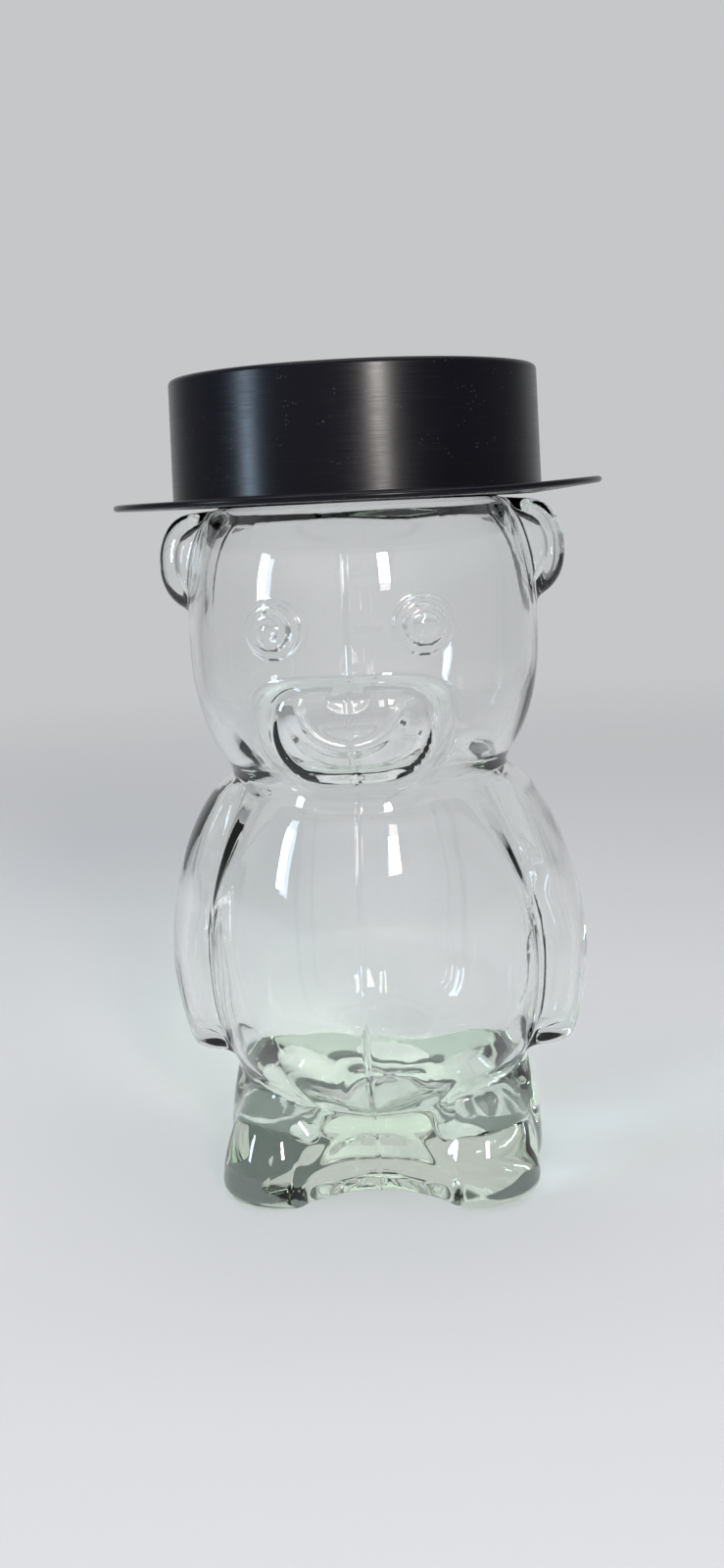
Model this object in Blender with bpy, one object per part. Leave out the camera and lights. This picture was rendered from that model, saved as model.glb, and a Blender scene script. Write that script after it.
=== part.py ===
# Glass bear jar with a black hat for a lid.
#
# The jar is one piece of pressed and blown glass. Head, ears, muzzle, belly, arms and feet share
# one hollow wall, which is open only at the round neck. The hat is one plastic moulding: crown,
# flat top, thin brim, and inside the crown a skirt that slips over the neck.
#
# Metres, +Z up. The bear faces -Y. The origin lies on the table, under the middle of the hat.
#
# The glass is described by fields, functions that are negative inside a form and positive outside
# it. Blended fields make the whole bear, and rays sent out from its axis find the skin.

import math

import bmesh
import bpy
import numpy as np

# Belly: an egg that is fuller below its middle than above it
BELLY_HEIGHT = 0.074
BELLY_RADIUS = 0.0515
BELLY_RISE = 0.0706
BELLY_DROP = 0.054
BELLY_UPPER_POWER = 2.3
BELLY_LOWER_POWER = 3.0

# Head: a barrel, flat on top where the neck stands
HEAD_ABOVE_BELLY = 0.091
HEAD_RADIUS = 0.0518
HEAD_RISE = 0.0515
HEAD_DROP = 0.0525
HEAD_UPPER_POWER = 3.0
HEAD_LOWER_POWER = 2.5
DECK_SHARE = 0.75

# Neck: the round mouth of the jar, inside the hat
NECK_RADIUS = 0.041
NECK_HEIGHT = 0.0195
NECK_WALL = 0.0032
NECK_FILLET = 0.0008
RIM_ROUND = 0.0013

# Ears: two discs on edge, at the sides of the head and level with its top
EAR_RADIUS = 0.0155
EAR_SINK = 0.0069
EAR_HALF_THICKNESS = 0.0085
EAR_POWER = 2.3

# Arms: broad at the shoulder, narrow and cut flat at the hand
ARM_REACH = 0.0640
ARM_ROOT_REACH = 0.040
ARM_BELOW_BELLY = 0.006
ARM_HALF_LENGTH = 0.0565
ARM_POWER = 1.7
ARM_SINK = 0.0015
HAND_HEIGHT = 0.0385
HAND_HALF_SPAN = 0.010
SHOULDER_HALF_SPAN = 0.027
SHOULDER_SPAN_SHARES = (-0.14, 0.83)
THINNEST_ARM = 0.001

# Foot block: the seat of the belly, with two toes and an arch between them, front and back
BLOCK_HEIGHT = 0.008
BLOCK_RADIUS = 0.0485
BLOCK_HALF_DEPTH = 0.038
BLOCK_RISE = 0.067
ROUND_POWER = 2.0
TOE_SPREAD = 0.0305
TOE_FORWARD = 0.024
TOE_HALF_WIDTH = 0.0175
TOE_HALF_LENGTH = 0.020
TOE_RISE = 0.032
ARCH_FORWARD = 0.050
ARCH_HALF_WIDTH = 0.0268
ARCH_HALF_DEPTH = 0.019
ARCH_RISE = 0.0242
ARCH_POWER = 3.2
BACK_ARCH_BACKWARD = 0.051
BACK_ARCH_HALF_WIDTH = 0.026
BACK_ARCH_HALF_DEPTH = 0.018
BACK_ARCH_RISE = 0.0235

# Underside: a flat band to stand on, round a shallow hollow
BASE_CORNER = 0.0045
BAND_SHARE = 0.78
PUNT_SHARE = 0.66
PUNT_DEPTH = 0.002

# Thickness of the glass
BODY_WALL = 0.0036
ARM_WALL = 0.0046
EAR_WALL = 0.0050
MUZZLE_WALL = 0.0042
THINNEST_SHARE = 0.85

# Pockets of the hollow, one in each foot
POCKET_SPREAD = 0.0265
POCKET_FORWARD = 0.008
POCKET_HEIGHT = 0.030
POCKET_HALF_WIDTH = 0.0165
POCKET_HALF_LENGTH = 0.021
POCKET_RISE = 0.022
POCKET_DROP = 0.021

# Widths over which neighbouring forms melt into each other
EAR_BLEND = 0.002
DECK_BLEND = 0.0025
ARM_BLEND = 0.004
ARM_END_BLEND = 0.0035
FOOT_BLEND = 0.005
ARCH_BLEND = 0.002
CREASE_BLEND = 0.003
WAIST_BLEND = 0.005
MUZZLE_BLEND = 0.002
INNER_BLEND = 0.005
INNER_WAIST_BLEND = 0.009

# Eyes: a low mound, a disc on it and a round pupil on that
EYE_SPREAD = 0.0205
EYE_ABOVE_HEAD = 0.005
EYE_MOUND_RADIUS = 0.0083
EYE_DISC_RADIUS = 0.0057
PUPIL_RADIUS = 0.0031
EYE_EDGE = 0.0010
EYE_MOUND_LIFT = 0.0011
EYE_DISC_LIFT = 0.0014
PUPIL_LIFT = 0.0010

# Muzzle: a snout that is flatter above its middle than below it
MUZZLE_BELOW_HEAD = 0.0185
MUZZLE_FORWARD = 0.0345
MUZZLE_HALF_WIDTH = 0.0280
MUZZLE_HALF_DEPTH = 0.0228
MUZZLE_RISE = 0.0122
MUZZLE_DROP = 0.0226
MUZZLE_PLAN_POWER = 2.7
MUZZLE_UPPER_POWER = 2.8
MUZZLE_LOWER_POWER = 2.4

# Nose and smile, on the front of the muzzle
NOSE_BELOW_HEAD = 0.0137
NOSE_HALF_WIDTH = 0.0055
NOSE_HALF_HEIGHT = 0.0032
NOSE_LIFT = 0.0010
SMILE_BELOW_HEAD = 0.0140
SMILE_HALF_WIDTH = 0.0150
SMILE_DROP = 0.0134
SMILE_HALF_GROOVE = 0.0016
SMILE_DEPTH = 0.0012

# Seam left by the two halves of the mould, down the front and the back
SEAM_HALF_WIDTH = 0.0009
SEAM_LIFT = 0.0006
SEAM_FADE = 0.0078

# Hat
SEAT_GAP = 0.0003
SKIRT_CLEARANCE = 0.00035
SKIRT_WALL = 0.0016
SKIRT_LEAD_IN = 0.0008
CROWN_CLEARANCE = 0.00945
CROWN_HEIGHT = 0.0348
CROWN_ROUND = 0.0015
CROWN_DRAFT = 0.0006
HAT_WALL = 0.0018
BRIM_WIDTH = 0.0174
BRIM_CURL = 0.0022
BRIM_CURL_SHARE = 0.5

# Materials
GLASS_COLOUR = (0.93, 0.97, 0.94)
GLASS_ROUGHNESS = 0.02
PLASTIC_COLOUR = (0.012, 0.012, 0.016)
PLASTIC_ROUGHNESS = 0.38

# Mesh density, and the search for the skin
FACE_ANGLE = math.radians(34)
FACE_COLUMNS = 13
SIDE_COLUMNS = 6
BACK_COLUMNS = 9
EDGE_SHARES = (1.25, 1.09, 0.96, 0.82, 0.6, 0.32, 0.0)
FOOT_RINGS = 14
BELLY_RINGS = 11
MUZZLE_RINGS = 15
EYE_RINGS = 11
SHOULDER_RINGS = 5
FLOOR_RINGS = 12
CAVITY_RINGS = 12
CORNER_STEPS = 2
SEARCH_STEPS = 72
BISECTIONS = 26
WAIST_SHARE = 0.7
DIP_REACH = 0.048
RAY_DIP = 0.024
MARGIN_SHARE = 1.3
HAT_SEGMENTS = 72
SHARP_ANGLE = math.radians(38)
MERGE_DISTANCE = 0.00001

# Places that follow from the sizes
HEAD_HEIGHT = BELLY_HEIGHT + HEAD_ABOVE_BELLY
DECK_HEIGHT = HEAD_HEIGHT + HEAD_RISE * DECK_SHARE
EAR_HEIGHT = DECK_HEIGHT - EAR_RADIUS
EAR_REACH = HEAD_RADIUS - EAR_SINK
WAIST_HEIGHT = BELLY_HEIGHT + BELLY_RISE * WAIST_SHARE
ARM_HEIGHT = BELLY_HEIGHT - ARM_BELOW_BELLY
EYE_HEIGHT = HEAD_HEIGHT + EYE_ABOVE_HEAD
MUZZLE_HEIGHT = HEAD_HEIGHT - MUZZLE_BELOW_HEAD
SMILE_HEIGHT = HEAD_HEIGHT - SMILE_BELOW_HEAD
NOSE_HEIGHT = HEAD_HEIGHT - NOSE_BELOW_HEAD
RIM_HEIGHT = DECK_HEIGHT + NECK_HEIGHT
BORE_RADIUS = NECK_RADIUS - NECK_WALL
REACH = MARGIN_SHARE * max(ARM_REACH, EAR_REACH + EAR_RADIUS, TOE_FORWARD + TOE_HALF_LENGTH)

BRIM_UNDERSIDE = DECK_HEIGHT + SEAT_GAP
BRIM_TOP = BRIM_UNDERSIDE + HAT_WALL
CROWN_TOP = BRIM_TOP + CROWN_HEIGHT
SKIRT_INNER_RADIUS = NECK_RADIUS + SKIRT_CLEARANCE
SKIRT_OUTER_RADIUS = SKIRT_INNER_RADIUS + SKIRT_WALL
CROWN_INNER_RADIUS = SKIRT_OUTER_RADIUS + CROWN_CLEARANCE
CROWN_RADIUS = CROWN_INNER_RADIUS + HAT_WALL
BRIM_RADIUS = CROWN_RADIUS + BRIM_WIDTH


def smooth_step(start, end, value):
    """A share that rises from 0 at start to 1 at end with no corner."""
    share = np.clip((value - start) / (end - start), 0.0, 1.0)
    return share * share * (3.0 - 2.0 * share)


def melt(first, second, blend):
    """Two forms joined, with the corner between them filled over the blend width."""
    share = np.clip(0.5 + 0.5 * (second - first) / blend, 0.0, 1.0)
    return second + (first - second) * share - blend * share * (1.0 - share)


def trim(first, second, blend):
    """What two forms have in common, with the edge between them rounded."""
    return -melt(-first, -second, blend)


def egg(across, height, radius, rise, drop, upper_power, lower_power):
    """A turned form whose halves above and below its middle have their own height and fullness."""
    power = np.where(height > 0.0, upper_power, lower_power)
    reach = np.where(height > 0.0, rise, drop)
    total = (across / radius) ** power + (np.abs(height) / reach) ** power
    return (total ** (1.0 / power) - 1.0) * radius


def pebble(x, y, z, half_width, half_depth, rise, drop, plan_power, upper_power, lower_power):
    """A rounded lump, boxier in plan and in height as its powers grow."""
    plan = np.abs(x / half_width) ** plan_power + np.abs(y / half_depth) ** plan_power
    plan = plan ** (1.0 / plan_power)
    power = np.where(z > 0.0, upper_power, lower_power)
    reach = np.where(z > 0.0, rise, drop)
    total = (plan ** power + np.abs(z / reach) ** power) ** (1.0 / power)
    return (total - 1.0) * min(half_width, half_depth, rise)


def belly_radius_at(z):
    """Radius of the bare belly at a height, and zero above and below it."""
    height = z - BELLY_HEIGHT
    power = np.where(height > 0.0, BELLY_UPPER_POWER, BELLY_LOWER_POWER)
    reach = np.where(height > 0.0, BELLY_RISE, BELLY_DROP)
    share = np.clip(np.abs(height) / reach, 0.0, 1.0)
    return BELLY_RADIUS * (1.0 - share ** power) ** (1.0 / power)


def head_field(x, y, z, inset):
    """The barrel of the head."""
    across = np.hypot(x, y)
    return egg(across, z - HEAD_HEIGHT, HEAD_RADIUS - inset, HEAD_RISE - inset,
               HEAD_DROP - inset, HEAD_UPPER_POWER, HEAD_LOWER_POWER)


def ear_field(x, y, z, inset):
    """Both ears: the left one is the right one seen in a mirror."""
    return pebble(np.abs(x) - EAR_REACH, y, z - EAR_HEIGHT, EAR_RADIUS - inset,
                  EAR_HALF_THICKNESS - inset, EAR_RADIUS - inset, EAR_RADIUS - inset,
                  EAR_POWER, EAR_POWER, EAR_POWER)


def muzzle_field(x, y, z, inset):
    """The snout."""
    return pebble(x, y + MUZZLE_FORWARD, z - MUZZLE_HEIGHT, MUZZLE_HALF_WIDTH - inset,
                  MUZZLE_HALF_DEPTH - inset, MUZZLE_RISE - inset, MUZZLE_DROP - inset,
                  MUZZLE_PLAN_POWER, MUZZLE_UPPER_POWER, MUZZLE_LOWER_POWER)


def belly_field(x, y, z, inset):
    """The egg of the belly."""
    across = np.hypot(x, y)
    return egg(across, z - BELLY_HEIGHT, BELLY_RADIUS - inset, BELLY_RISE - inset,
               BELLY_DROP - inset, BELLY_UPPER_POWER, BELLY_LOWER_POWER)


def arm_half_span(z):
    """Half the width of an arm at a height, measured round the belly."""
    low, high = (ARM_HEIGHT + ARM_HALF_LENGTH * share for share in SHOULDER_SPAN_SHARES)
    return HAND_HALF_SPAN + (SHOULDER_HALF_SPAN - HAND_HALF_SPAN) * smooth_step(low, high, z)


def arm_field(x, y, z, inset):
    """Both arms: at each height an oval, bent round the belly and half sunk in it."""
    share = np.clip(np.abs(z - ARM_HEIGHT) / ARM_HALF_LENGTH, 0.0, 1.0)
    bulge = (1.0 - share ** ARM_POWER) ** (1.0 / ARM_POWER)
    outer = ARM_ROOT_REACH + (ARM_REACH - ARM_ROOT_REACH) * bulge
    middle = np.maximum(belly_radius_at(z) - ARM_SINK, THINNEST_ARM)
    half_width = np.maximum(outer - middle - inset, THINNEST_ARM)
    half_span = arm_half_span(z) - inset
    span = np.arctan2(np.abs(y), np.abs(x)) * middle
    oval = np.hypot((np.hypot(x, y) - middle) / half_width, span / half_span)
    arm = (oval - 1.0) * half_width
    arm = trim(arm, HAND_HEIGHT + inset - z, ARM_END_BLEND)
    return trim(arm, z - (ARM_HEIGHT + ARM_HALF_LENGTH - inset), ARM_END_BLEND)


def foot_field(x, y, z):
    """The block under the belly with its two toes, cut away by the arches front and back."""
    block = pebble(x, y, z - BLOCK_HEIGHT, BLOCK_RADIUS, BLOCK_HALF_DEPTH, BLOCK_RISE, BLOCK_RISE,
                   ROUND_POWER, ROUND_POWER, ROUND_POWER)
    toes = pebble(np.abs(x) - TOE_SPREAD, y + TOE_FORWARD, z, TOE_HALF_WIDTH, TOE_HALF_LENGTH,
                  TOE_RISE, TOE_RISE, ROUND_POWER, ROUND_POWER, ROUND_POWER)
    arch = pebble(x, y + ARCH_FORWARD, z, ARCH_HALF_WIDTH, ARCH_HALF_DEPTH, ARCH_RISE, ARCH_RISE,
                  ROUND_POWER, ARCH_POWER, ARCH_POWER)
    back_arch = pebble(x, y - BACK_ARCH_BACKWARD, z, BACK_ARCH_HALF_WIDTH, BACK_ARCH_HALF_DEPTH,
                       BACK_ARCH_RISE, BACK_ARCH_RISE, ROUND_POWER, ARCH_POWER, ARCH_POWER)
    foot = melt(block, toes, FOOT_BLEND)
    foot = trim(foot, -arch, ARCH_BLEND)
    return trim(foot, -back_arch, ARCH_BLEND)


def pocket_field(x, y, z):
    """The pockets that the hollow has in the feet."""
    return pebble(np.abs(x) - POCKET_SPREAD, y + POCKET_FORWARD, z - POCKET_HEIGHT,
                  POCKET_HALF_WIDTH, POCKET_HALF_LENGTH, POCKET_RISE, POCKET_DROP,
                  ROUND_POWER, ROUND_POWER, ROUND_POWER)


def bore_field(x, y, z):
    """The bore of the neck, which starts inside the head."""
    return np.maximum(np.hypot(x, y) - BORE_RADIUS, HEAD_HEIGHT - z)


def bear_field(x, y, z):
    """The whole bear, before the top of the head is cut flat."""
    head = melt(head_field(x, y, z, 0.0), ear_field(x, y, z, 0.0), EAR_BLEND)
    head = melt(head, muzzle_field(x, y, z, 0.0), MUZZLE_BLEND)
    trunk = melt(belly_field(x, y, z, 0.0), arm_field(x, y, z, 0.0), ARM_BLEND)
    trunk = melt(trunk, foot_field(x, y, z), CREASE_BLEND)
    return melt(head, trunk, WAIST_BLEND)


def outer_field(x, y, z):
    """The bear as it is seen from outside."""
    return trim(bear_field(x, y, z), z - DECK_HEIGHT, DECK_BLEND)


def inner_field(x, y, z):
    """The hollow, which follows the outside more softly and leaves the feet thick."""
    head = melt(head_field(x, y, z, BODY_WALL), ear_field(x, y, z, EAR_WALL), INNER_BLEND)
    head = melt(head, muzzle_field(x, y, z, MUZZLE_WALL), INNER_BLEND)
    trunk = melt(belly_field(x, y, z, BODY_WALL), arm_field(x, y, z, ARM_WALL), INNER_BLEND)
    trunk = melt(trunk, pocket_field(x, y, z), INNER_BLEND)
    hollow = melt(head, trunk, INNER_WAIST_BLEND)
    hollow = np.maximum(hollow, bear_field(x, y, z) + BODY_WALL * THINNEST_SHARE)
    return np.minimum(hollow, bore_field(x, y, z))


def eye_lift(x, z):
    """How far the eyes stand out of the face."""
    distance = np.hypot(np.abs(x) - EYE_SPREAD, z - EYE_HEIGHT)
    lift = EYE_MOUND_LIFT * smooth_step(EYE_MOUND_RADIUS, EYE_MOUND_RADIUS - EYE_EDGE, distance)
    lift = lift + EYE_DISC_LIFT * smooth_step(EYE_DISC_RADIUS, EYE_DISC_RADIUS - EYE_EDGE, distance)
    dome = np.sqrt(np.clip(1.0 - (distance / PUPIL_RADIUS) ** 2, 0.0, 1.0))
    return lift + PUPIL_LIFT * dome


def mouth_lift(x, z):
    """How far the nose stands out of the muzzle and the smile is sunk in it."""
    nose = np.hypot(x / NOSE_HALF_WIDTH, (z - NOSE_HEIGHT) / NOSE_HALF_HEIGHT)
    lift = NOSE_LIFT * np.sqrt(np.clip(1.0 - nose ** 2, 0.0, 1.0))
    curve = np.hypot(x, (z - SMILE_HEIGHT) * SMILE_HALF_WIDTH / SMILE_DROP)
    offset = (curve - SMILE_HALF_WIDTH) / SMILE_HALF_GROOVE
    below = smooth_step(SMILE_HEIGHT, SMILE_HEIGHT - NOSE_HALF_HEIGHT, z)
    return lift - SMILE_DEPTH * np.exp(-offset ** 2) * below


def relief(x, y, z):
    """Everything that is pressed into the skin: eyes, nose, smile and the two seams."""
    facing = y < 0.0
    lift = np.where(facing, eye_lift(x, z) + mouth_lift(x, z), 0.0)
    ridge = SEAM_LIFT * smooth_step(SEAM_HALF_WIDTH, 0.0, np.abs(x))
    clear_of_neck = smooth_step(EAR_HEIGHT + SEAM_FADE, EAR_HEIGHT, z)
    return lift + ridge * clear_of_neck


def edge_angle(z):
    """Half the angle that an arm, or higher up an ear, takes of the turn round the axis."""
    level = np.clip(z, HAND_HEIGHT, WAIST_HEIGHT)
    arm = arm_half_span(level) / (belly_radius_at(level) - ARM_SINK)
    ear = math.atan2(EAR_HALF_THICKNESS, EAR_REACH)
    return arm + (ear - arm) * smooth_step(WAIST_HEIGHT, MUZZLE_HEIGHT + MUZZLE_RISE, z)


def column_angles(levels):
    """Angles round the axis from the front, a row a level, that keep to the arms' edges."""
    seam = SEAM_HALF_WIDTH / BELLY_RADIUS
    rows = []
    for edge in edge_angle(levels):
        shares = np.concatenate([EDGE_SHARES, np.negative(EDGE_SHARES[-2::-1])])
        band = math.pi / 2.0 - edge * shares
        face = np.linspace(seam, FACE_ANGLE, FACE_COLUMNS)
        side = np.linspace(FACE_ANGLE, band[0], SIDE_COLUMNS + 1)[1:-1]
        back = np.linspace(band[-1], math.pi - seam, BACK_COLUMNS + 1)[1:]
        half = np.concatenate([face, side, band, back])
        rows.append(np.concatenate([[0.0], half, [math.pi], 2.0 * math.pi - half[::-1]]))
    return np.stack(rows)


def outer_rays():
    """Start heights, slopes and angles of the rays that find the outside, from foot to neck.

    Rays dip towards the hands, whose ends face down, and rise towards the deck, which faces up.
    """
    levels = np.concatenate([
        np.linspace(BASE_CORNER, HAND_HEIGHT, FOOT_RINGS, endpoint=False),
        np.linspace(HAND_HEIGHT, WAIST_HEIGHT, BELLY_RINGS, endpoint=False),
        np.linspace(WAIST_HEIGHT, MUZZLE_HEIGHT + MUZZLE_RISE, MUZZLE_RINGS, endpoint=False),
        np.linspace(MUZZLE_HEIGHT + MUZZLE_RISE, EAR_HEIGHT, EYE_RINGS),
    ])
    dip_top = HAND_HEIGHT + DIP_REACH
    dip = smooth_step(BASE_CORNER, HAND_HEIGHT, levels) - smooth_step(HAND_HEIGHT, dip_top, levels)
    starts = levels + dip * RAY_DIP
    slopes = np.arctan2(levels - starts, ARM_REACH)
    neck_slope = math.atan2(DECK_HEIGHT - EAR_HEIGHT, NECK_RADIUS + NECK_FILLET)
    fan = np.linspace(0.0, neck_slope, SHOULDER_RINGS + 1)[1:]
    top = np.full(SHOULDER_RINGS, EAR_HEIGHT)
    angles = column_angles(np.concatenate([levels, top]))
    return np.concatenate([starts, top]), np.concatenate([slopes, fan]), angles


def inner_rays():
    """Start heights, slopes and angles of the rays that find the hollow, from floor to bore."""
    floor = np.linspace(-math.pi / 2.0, 0.0, FLOOR_RINGS + 1)[1:]
    heights = np.linspace(BELLY_HEIGHT, EAR_HEIGHT, CAVITY_RINGS + 1)[1:]
    neck_slope = math.atan2(DECK_HEIGHT - EAR_HEIGHT, BORE_RADIUS)
    fan = np.linspace(0.0, neck_slope, SHOULDER_RINGS + 1)[1:]
    starts = np.concatenate([np.full(FLOOR_RINGS, BELLY_HEIGHT), heights,
                             np.full(SHOULDER_RINGS, EAR_HEIGHT)])
    slopes = np.concatenate([floor, np.zeros(CAVITY_RINGS), fan])
    levels = np.clip(starts + ARM_REACH * np.sin(slopes), BASE_CORNER, EAR_HEIGHT)
    return starts, slopes, column_angles(levels)[:, ::2]


def ray_points(distance, starts, slopes, angles):
    """Points at the given distances along the rays."""
    across = distance * np.cos(slopes)[:, None]
    x = across * np.sin(angles)
    y = -across * np.cos(angles)
    z = starts[:, None] + distance * np.sin(slopes)[:, None]
    return x, y, z


def find_skin(field, starts, slopes, angles):
    """Distance along each ray at which it leaves the form for the last time."""
    shape = angles.shape
    step = REACH / SEARCH_STEPS
    near = np.zeros(shape)
    far = np.full(shape, step)
    for index in range(1, SEARCH_STEPS):
        distance = np.full(shape, index * step)
        inside = field(*ray_points(distance, starts, slopes, angles)) < 0.0
        near = np.where(inside, distance, near)
        far = np.where(inside, distance + step, far)
    for _ in range(BISECTIONS):
        middle = (near + far) / 2.0
        inside = field(*ray_points(middle, starts, slopes, angles)) < 0.0
        near = np.where(inside, middle, near)
        far = np.where(inside, far, middle)
    return (near + far) / 2.0


def skin_rings(field, rays, pressed):
    """Rings of points on the skin, with the relief pressed into them if asked."""
    distance = find_skin(field, *rays)
    if pressed:
        distance = distance + relief(*ray_points(distance, *rays))
    x, y, z = ray_points(distance, *rays)
    return np.stack([x, y, z], axis=-1)


def round_ring(radius, height, angles):
    """A level circle of points."""
    return np.stack([radius * np.sin(angles), -radius * np.cos(angles),
                     np.full(len(angles), height)], axis=-1)


def inward_ring(ring, inset, height, share):
    """A ring drawn in towards the axis by an inset and a share, and set at a height."""
    flat = ring[:, :2]
    radius = np.linalg.norm(flat, axis=1, keepdims=True)
    moved = flat / radius * (radius - inset) * share
    return np.column_stack([moved, np.full(len(ring), height)])


def add_ring(mesh, ring):
    """The mesh vertices of one ring."""
    return [mesh.verts.new(point) for point in ring]


def join_rings(mesh, lower, upper):
    """Faces between two rings; where the upper one has half as many points, in threes."""
    count = len(lower)
    if len(upper) == count:
        for i in range(count):
            j = (i + 1) % count
            mesh.faces.new((lower[i], lower[j], upper[j], upper[i]))
        return
    for i in range(len(upper)):
        j = (i + 1) % len(upper)
        middle = lower[2 * i + 1]
        mesh.faces.new((lower[2 * i], middle, upper[i]))
        mesh.faces.new((middle, upper[j], upper[i]))
        mesh.faces.new((middle, lower[2 * j], upper[j]))


def close_ring(mesh, ring, tip, facing_up):
    """A fan of faces from a ring to one point on the axis."""
    point = mesh.verts.new(tip)
    for i in range(len(ring)):
        j = (i + 1) % len(ring)
        corners = (ring[i], ring[j], point) if facing_up else (ring[j], ring[i], point)
        mesh.faces.new(corners)


def base_rings(lowest):
    """Rings from the hollow under the base, over the flat band, round the corner to the skin."""
    rings = [inward_ring(lowest, BASE_CORNER, PUNT_DEPTH, PUNT_SHARE),
             inward_ring(lowest, BASE_CORNER, 0.0, BAND_SHARE)]
    for index in range(CORNER_STEPS):
        angle = math.pi / 2.0 * index / CORNER_STEPS
        inset = BASE_CORNER * (1.0 - math.sin(angle))
        height = BASE_CORNER * (1.0 - math.cos(angle))
        rings.append(inward_ring(lowest, inset, height, 1.0))
    return rings


def rim_rings(angles, inner_angles):
    """Rings up the neck, over its rounded rim and down to the bore."""
    rings = [round_ring(NECK_RADIUS, DECK_HEIGHT + NECK_FILLET, angles)]
    rings.append(round_ring(NECK_RADIUS, RIM_HEIGHT - RIM_ROUND, angles))
    rings.append(round_ring(NECK_RADIUS - RIM_ROUND, RIM_HEIGHT, angles))
    rings.append(round_ring(BORE_RADIUS + RIM_ROUND, RIM_HEIGHT, inner_angles))
    rings.append(round_ring(BORE_RADIUS, RIM_HEIGHT - RIM_ROUND, inner_angles))
    return rings


def make_object(name, mesh, material):
    """A named object with its material, shaded smooth but for real edges."""
    data = bpy.data.meshes.new(name)
    mesh.to_mesh(data)
    mesh.free()
    data.shade_smooth()
    data.set_sharp_from_angle(angle=SHARP_ANGLE)
    data.materials.append(material)
    made = bpy.data.objects.new(name, data)
    bpy.context.scene.collection.objects.link(made)
    return made


def make_material(name, colour, roughness, transmission):
    """A plain Principled material; neither the glass nor the plastic is metallic."""
    material = bpy.data.materials.new(name)
    material.use_nodes = True
    shader = material.node_tree.nodes["Principled BSDF"]
    shader.inputs["Base Color"].default_value = (*colour, 1.0)
    shader.inputs["Metallic"].default_value = 0.0
    shader.inputs["Roughness"].default_value = roughness
    shader.inputs["Transmission Weight"].default_value = transmission
    return material


def make_jar():
    """The glass bear, outside and hollow joined at the rim of the neck."""
    outer = outer_rays()
    inner = inner_rays()
    outside = skin_rings(outer_field, outer, True)
    hollow = skin_rings(inner_field, inner, False)
    rows = base_rings(outside[0]) + list(outside) + rim_rings(outer[2][-1], inner[2][-1])
    rows = rows + list(hollow[::-1])
    mesh = bmesh.new()
    rings = [add_ring(mesh, row) for row in rows]
    for lower, upper in zip(rings, rings[1:]):
        join_rings(mesh, lower, upper)
    close_ring(mesh, rings[0], (0.0, 0.0, PUNT_DEPTH), False)
    close_ring(mesh, rings[-1], (0.0, 0.0, hollow[0][:, 2].mean()), True)
    glass = make_material("clear_glass", GLASS_COLOUR, GLASS_ROUGHNESS, 1.0)
    return make_object("bear_jar", mesh, glass)


def arc(centre_radius, centre_height, radius, start, end, steps):
    """Points of a rounded corner in the turned profile."""
    angles = [start + (end - start) * step / steps for step in range(steps + 1)]
    return [(centre_radius + radius * math.cos(angle), centre_height + radius * math.sin(angle))
            for angle in angles]


def hat_profile():
    """Half section of the hat, from the middle of its top outwards and back inside."""
    edge = HAT_WALL / 2.0
    top_radius = CROWN_RADIUS - CROWN_DRAFT
    ceiling = CROWN_TOP - HAT_WALL
    profile = [(0.0, CROWN_TOP)]
    profile += arc(top_radius - CROWN_ROUND, CROWN_TOP - CROWN_ROUND, CROWN_ROUND,
                   math.pi / 2.0, 0.0, CORNER_STEPS)
    profile.append((CROWN_RADIUS, BRIM_TOP))
    profile += arc(BRIM_RADIUS - edge, BRIM_UNDERSIDE + edge, edge,
                   math.pi / 2.0, -math.pi / 2.0, CORNER_STEPS)
    profile.append((CROWN_INNER_RADIUS, BRIM_UNDERSIDE))
    profile.append((CROWN_INNER_RADIUS - CROWN_DRAFT, ceiling - HAT_WALL))
    profile.append((CROWN_INNER_RADIUS - CROWN_DRAFT - HAT_WALL, ceiling))
    profile.append((SKIRT_OUTER_RADIUS, ceiling))
    profile.append((SKIRT_OUTER_RADIUS, BRIM_UNDERSIDE))
    profile.append((SKIRT_INNER_RADIUS + SKIRT_LEAD_IN, BRIM_UNDERSIDE))
    profile.append((SKIRT_INNER_RADIUS, BRIM_UNDERSIDE + SKIRT_LEAD_IN))
    profile.append((SKIRT_INNER_RADIUS, ceiling))
    profile.append((0.0, ceiling))
    return profile


def curl_of(x):
    """How far the brim curls up on the bear's left side, which is +X."""
    start = CROWN_RADIUS * BRIM_CURL_SHARE
    share = max(0.0, x - start) / (BRIM_RADIUS - start)
    return BRIM_CURL * share * share


def make_hat():
    """The hat lid, turned from its profile, with the brim curled at one side."""
    mesh = bmesh.new()
    corners = [mesh.verts.new((radius, 0.0, height)) for radius, height in hat_profile()]
    edges = [mesh.edges.new(pair) for pair in zip(corners, corners[1:])]
    bmesh.ops.spin(mesh, geom=corners + edges, cent=(0.0, 0.0, 0.0), axis=(0.0, 0.0, 1.0),
                   angle=2.0 * math.pi, steps=HAT_SEGMENTS, use_merge=True)
    bmesh.ops.remove_doubles(mesh, verts=mesh.verts[:], dist=MERGE_DISTANCE)
    for vertex in mesh.verts:
        if math.hypot(vertex.co.x, vertex.co.y) > CROWN_RADIUS + MERGE_DISTANCE:
            vertex.co.z += curl_of(vertex.co.x)
    bmesh.ops.recalc_face_normals(mesh, faces=mesh.faces[:])
    plastic = make_material("black_plastic", PLASTIC_COLOUR, PLASTIC_ROUGHNESS, 0.0)
    return make_object("hat_lid", mesh, plastic)


def main():
    """Clear the scene and make both pieces."""
    for item in list(bpy.data.objects):
        bpy.data.objects.remove(item, do_unlink=True)
    make_jar()
    make_hat()


main()
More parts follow.
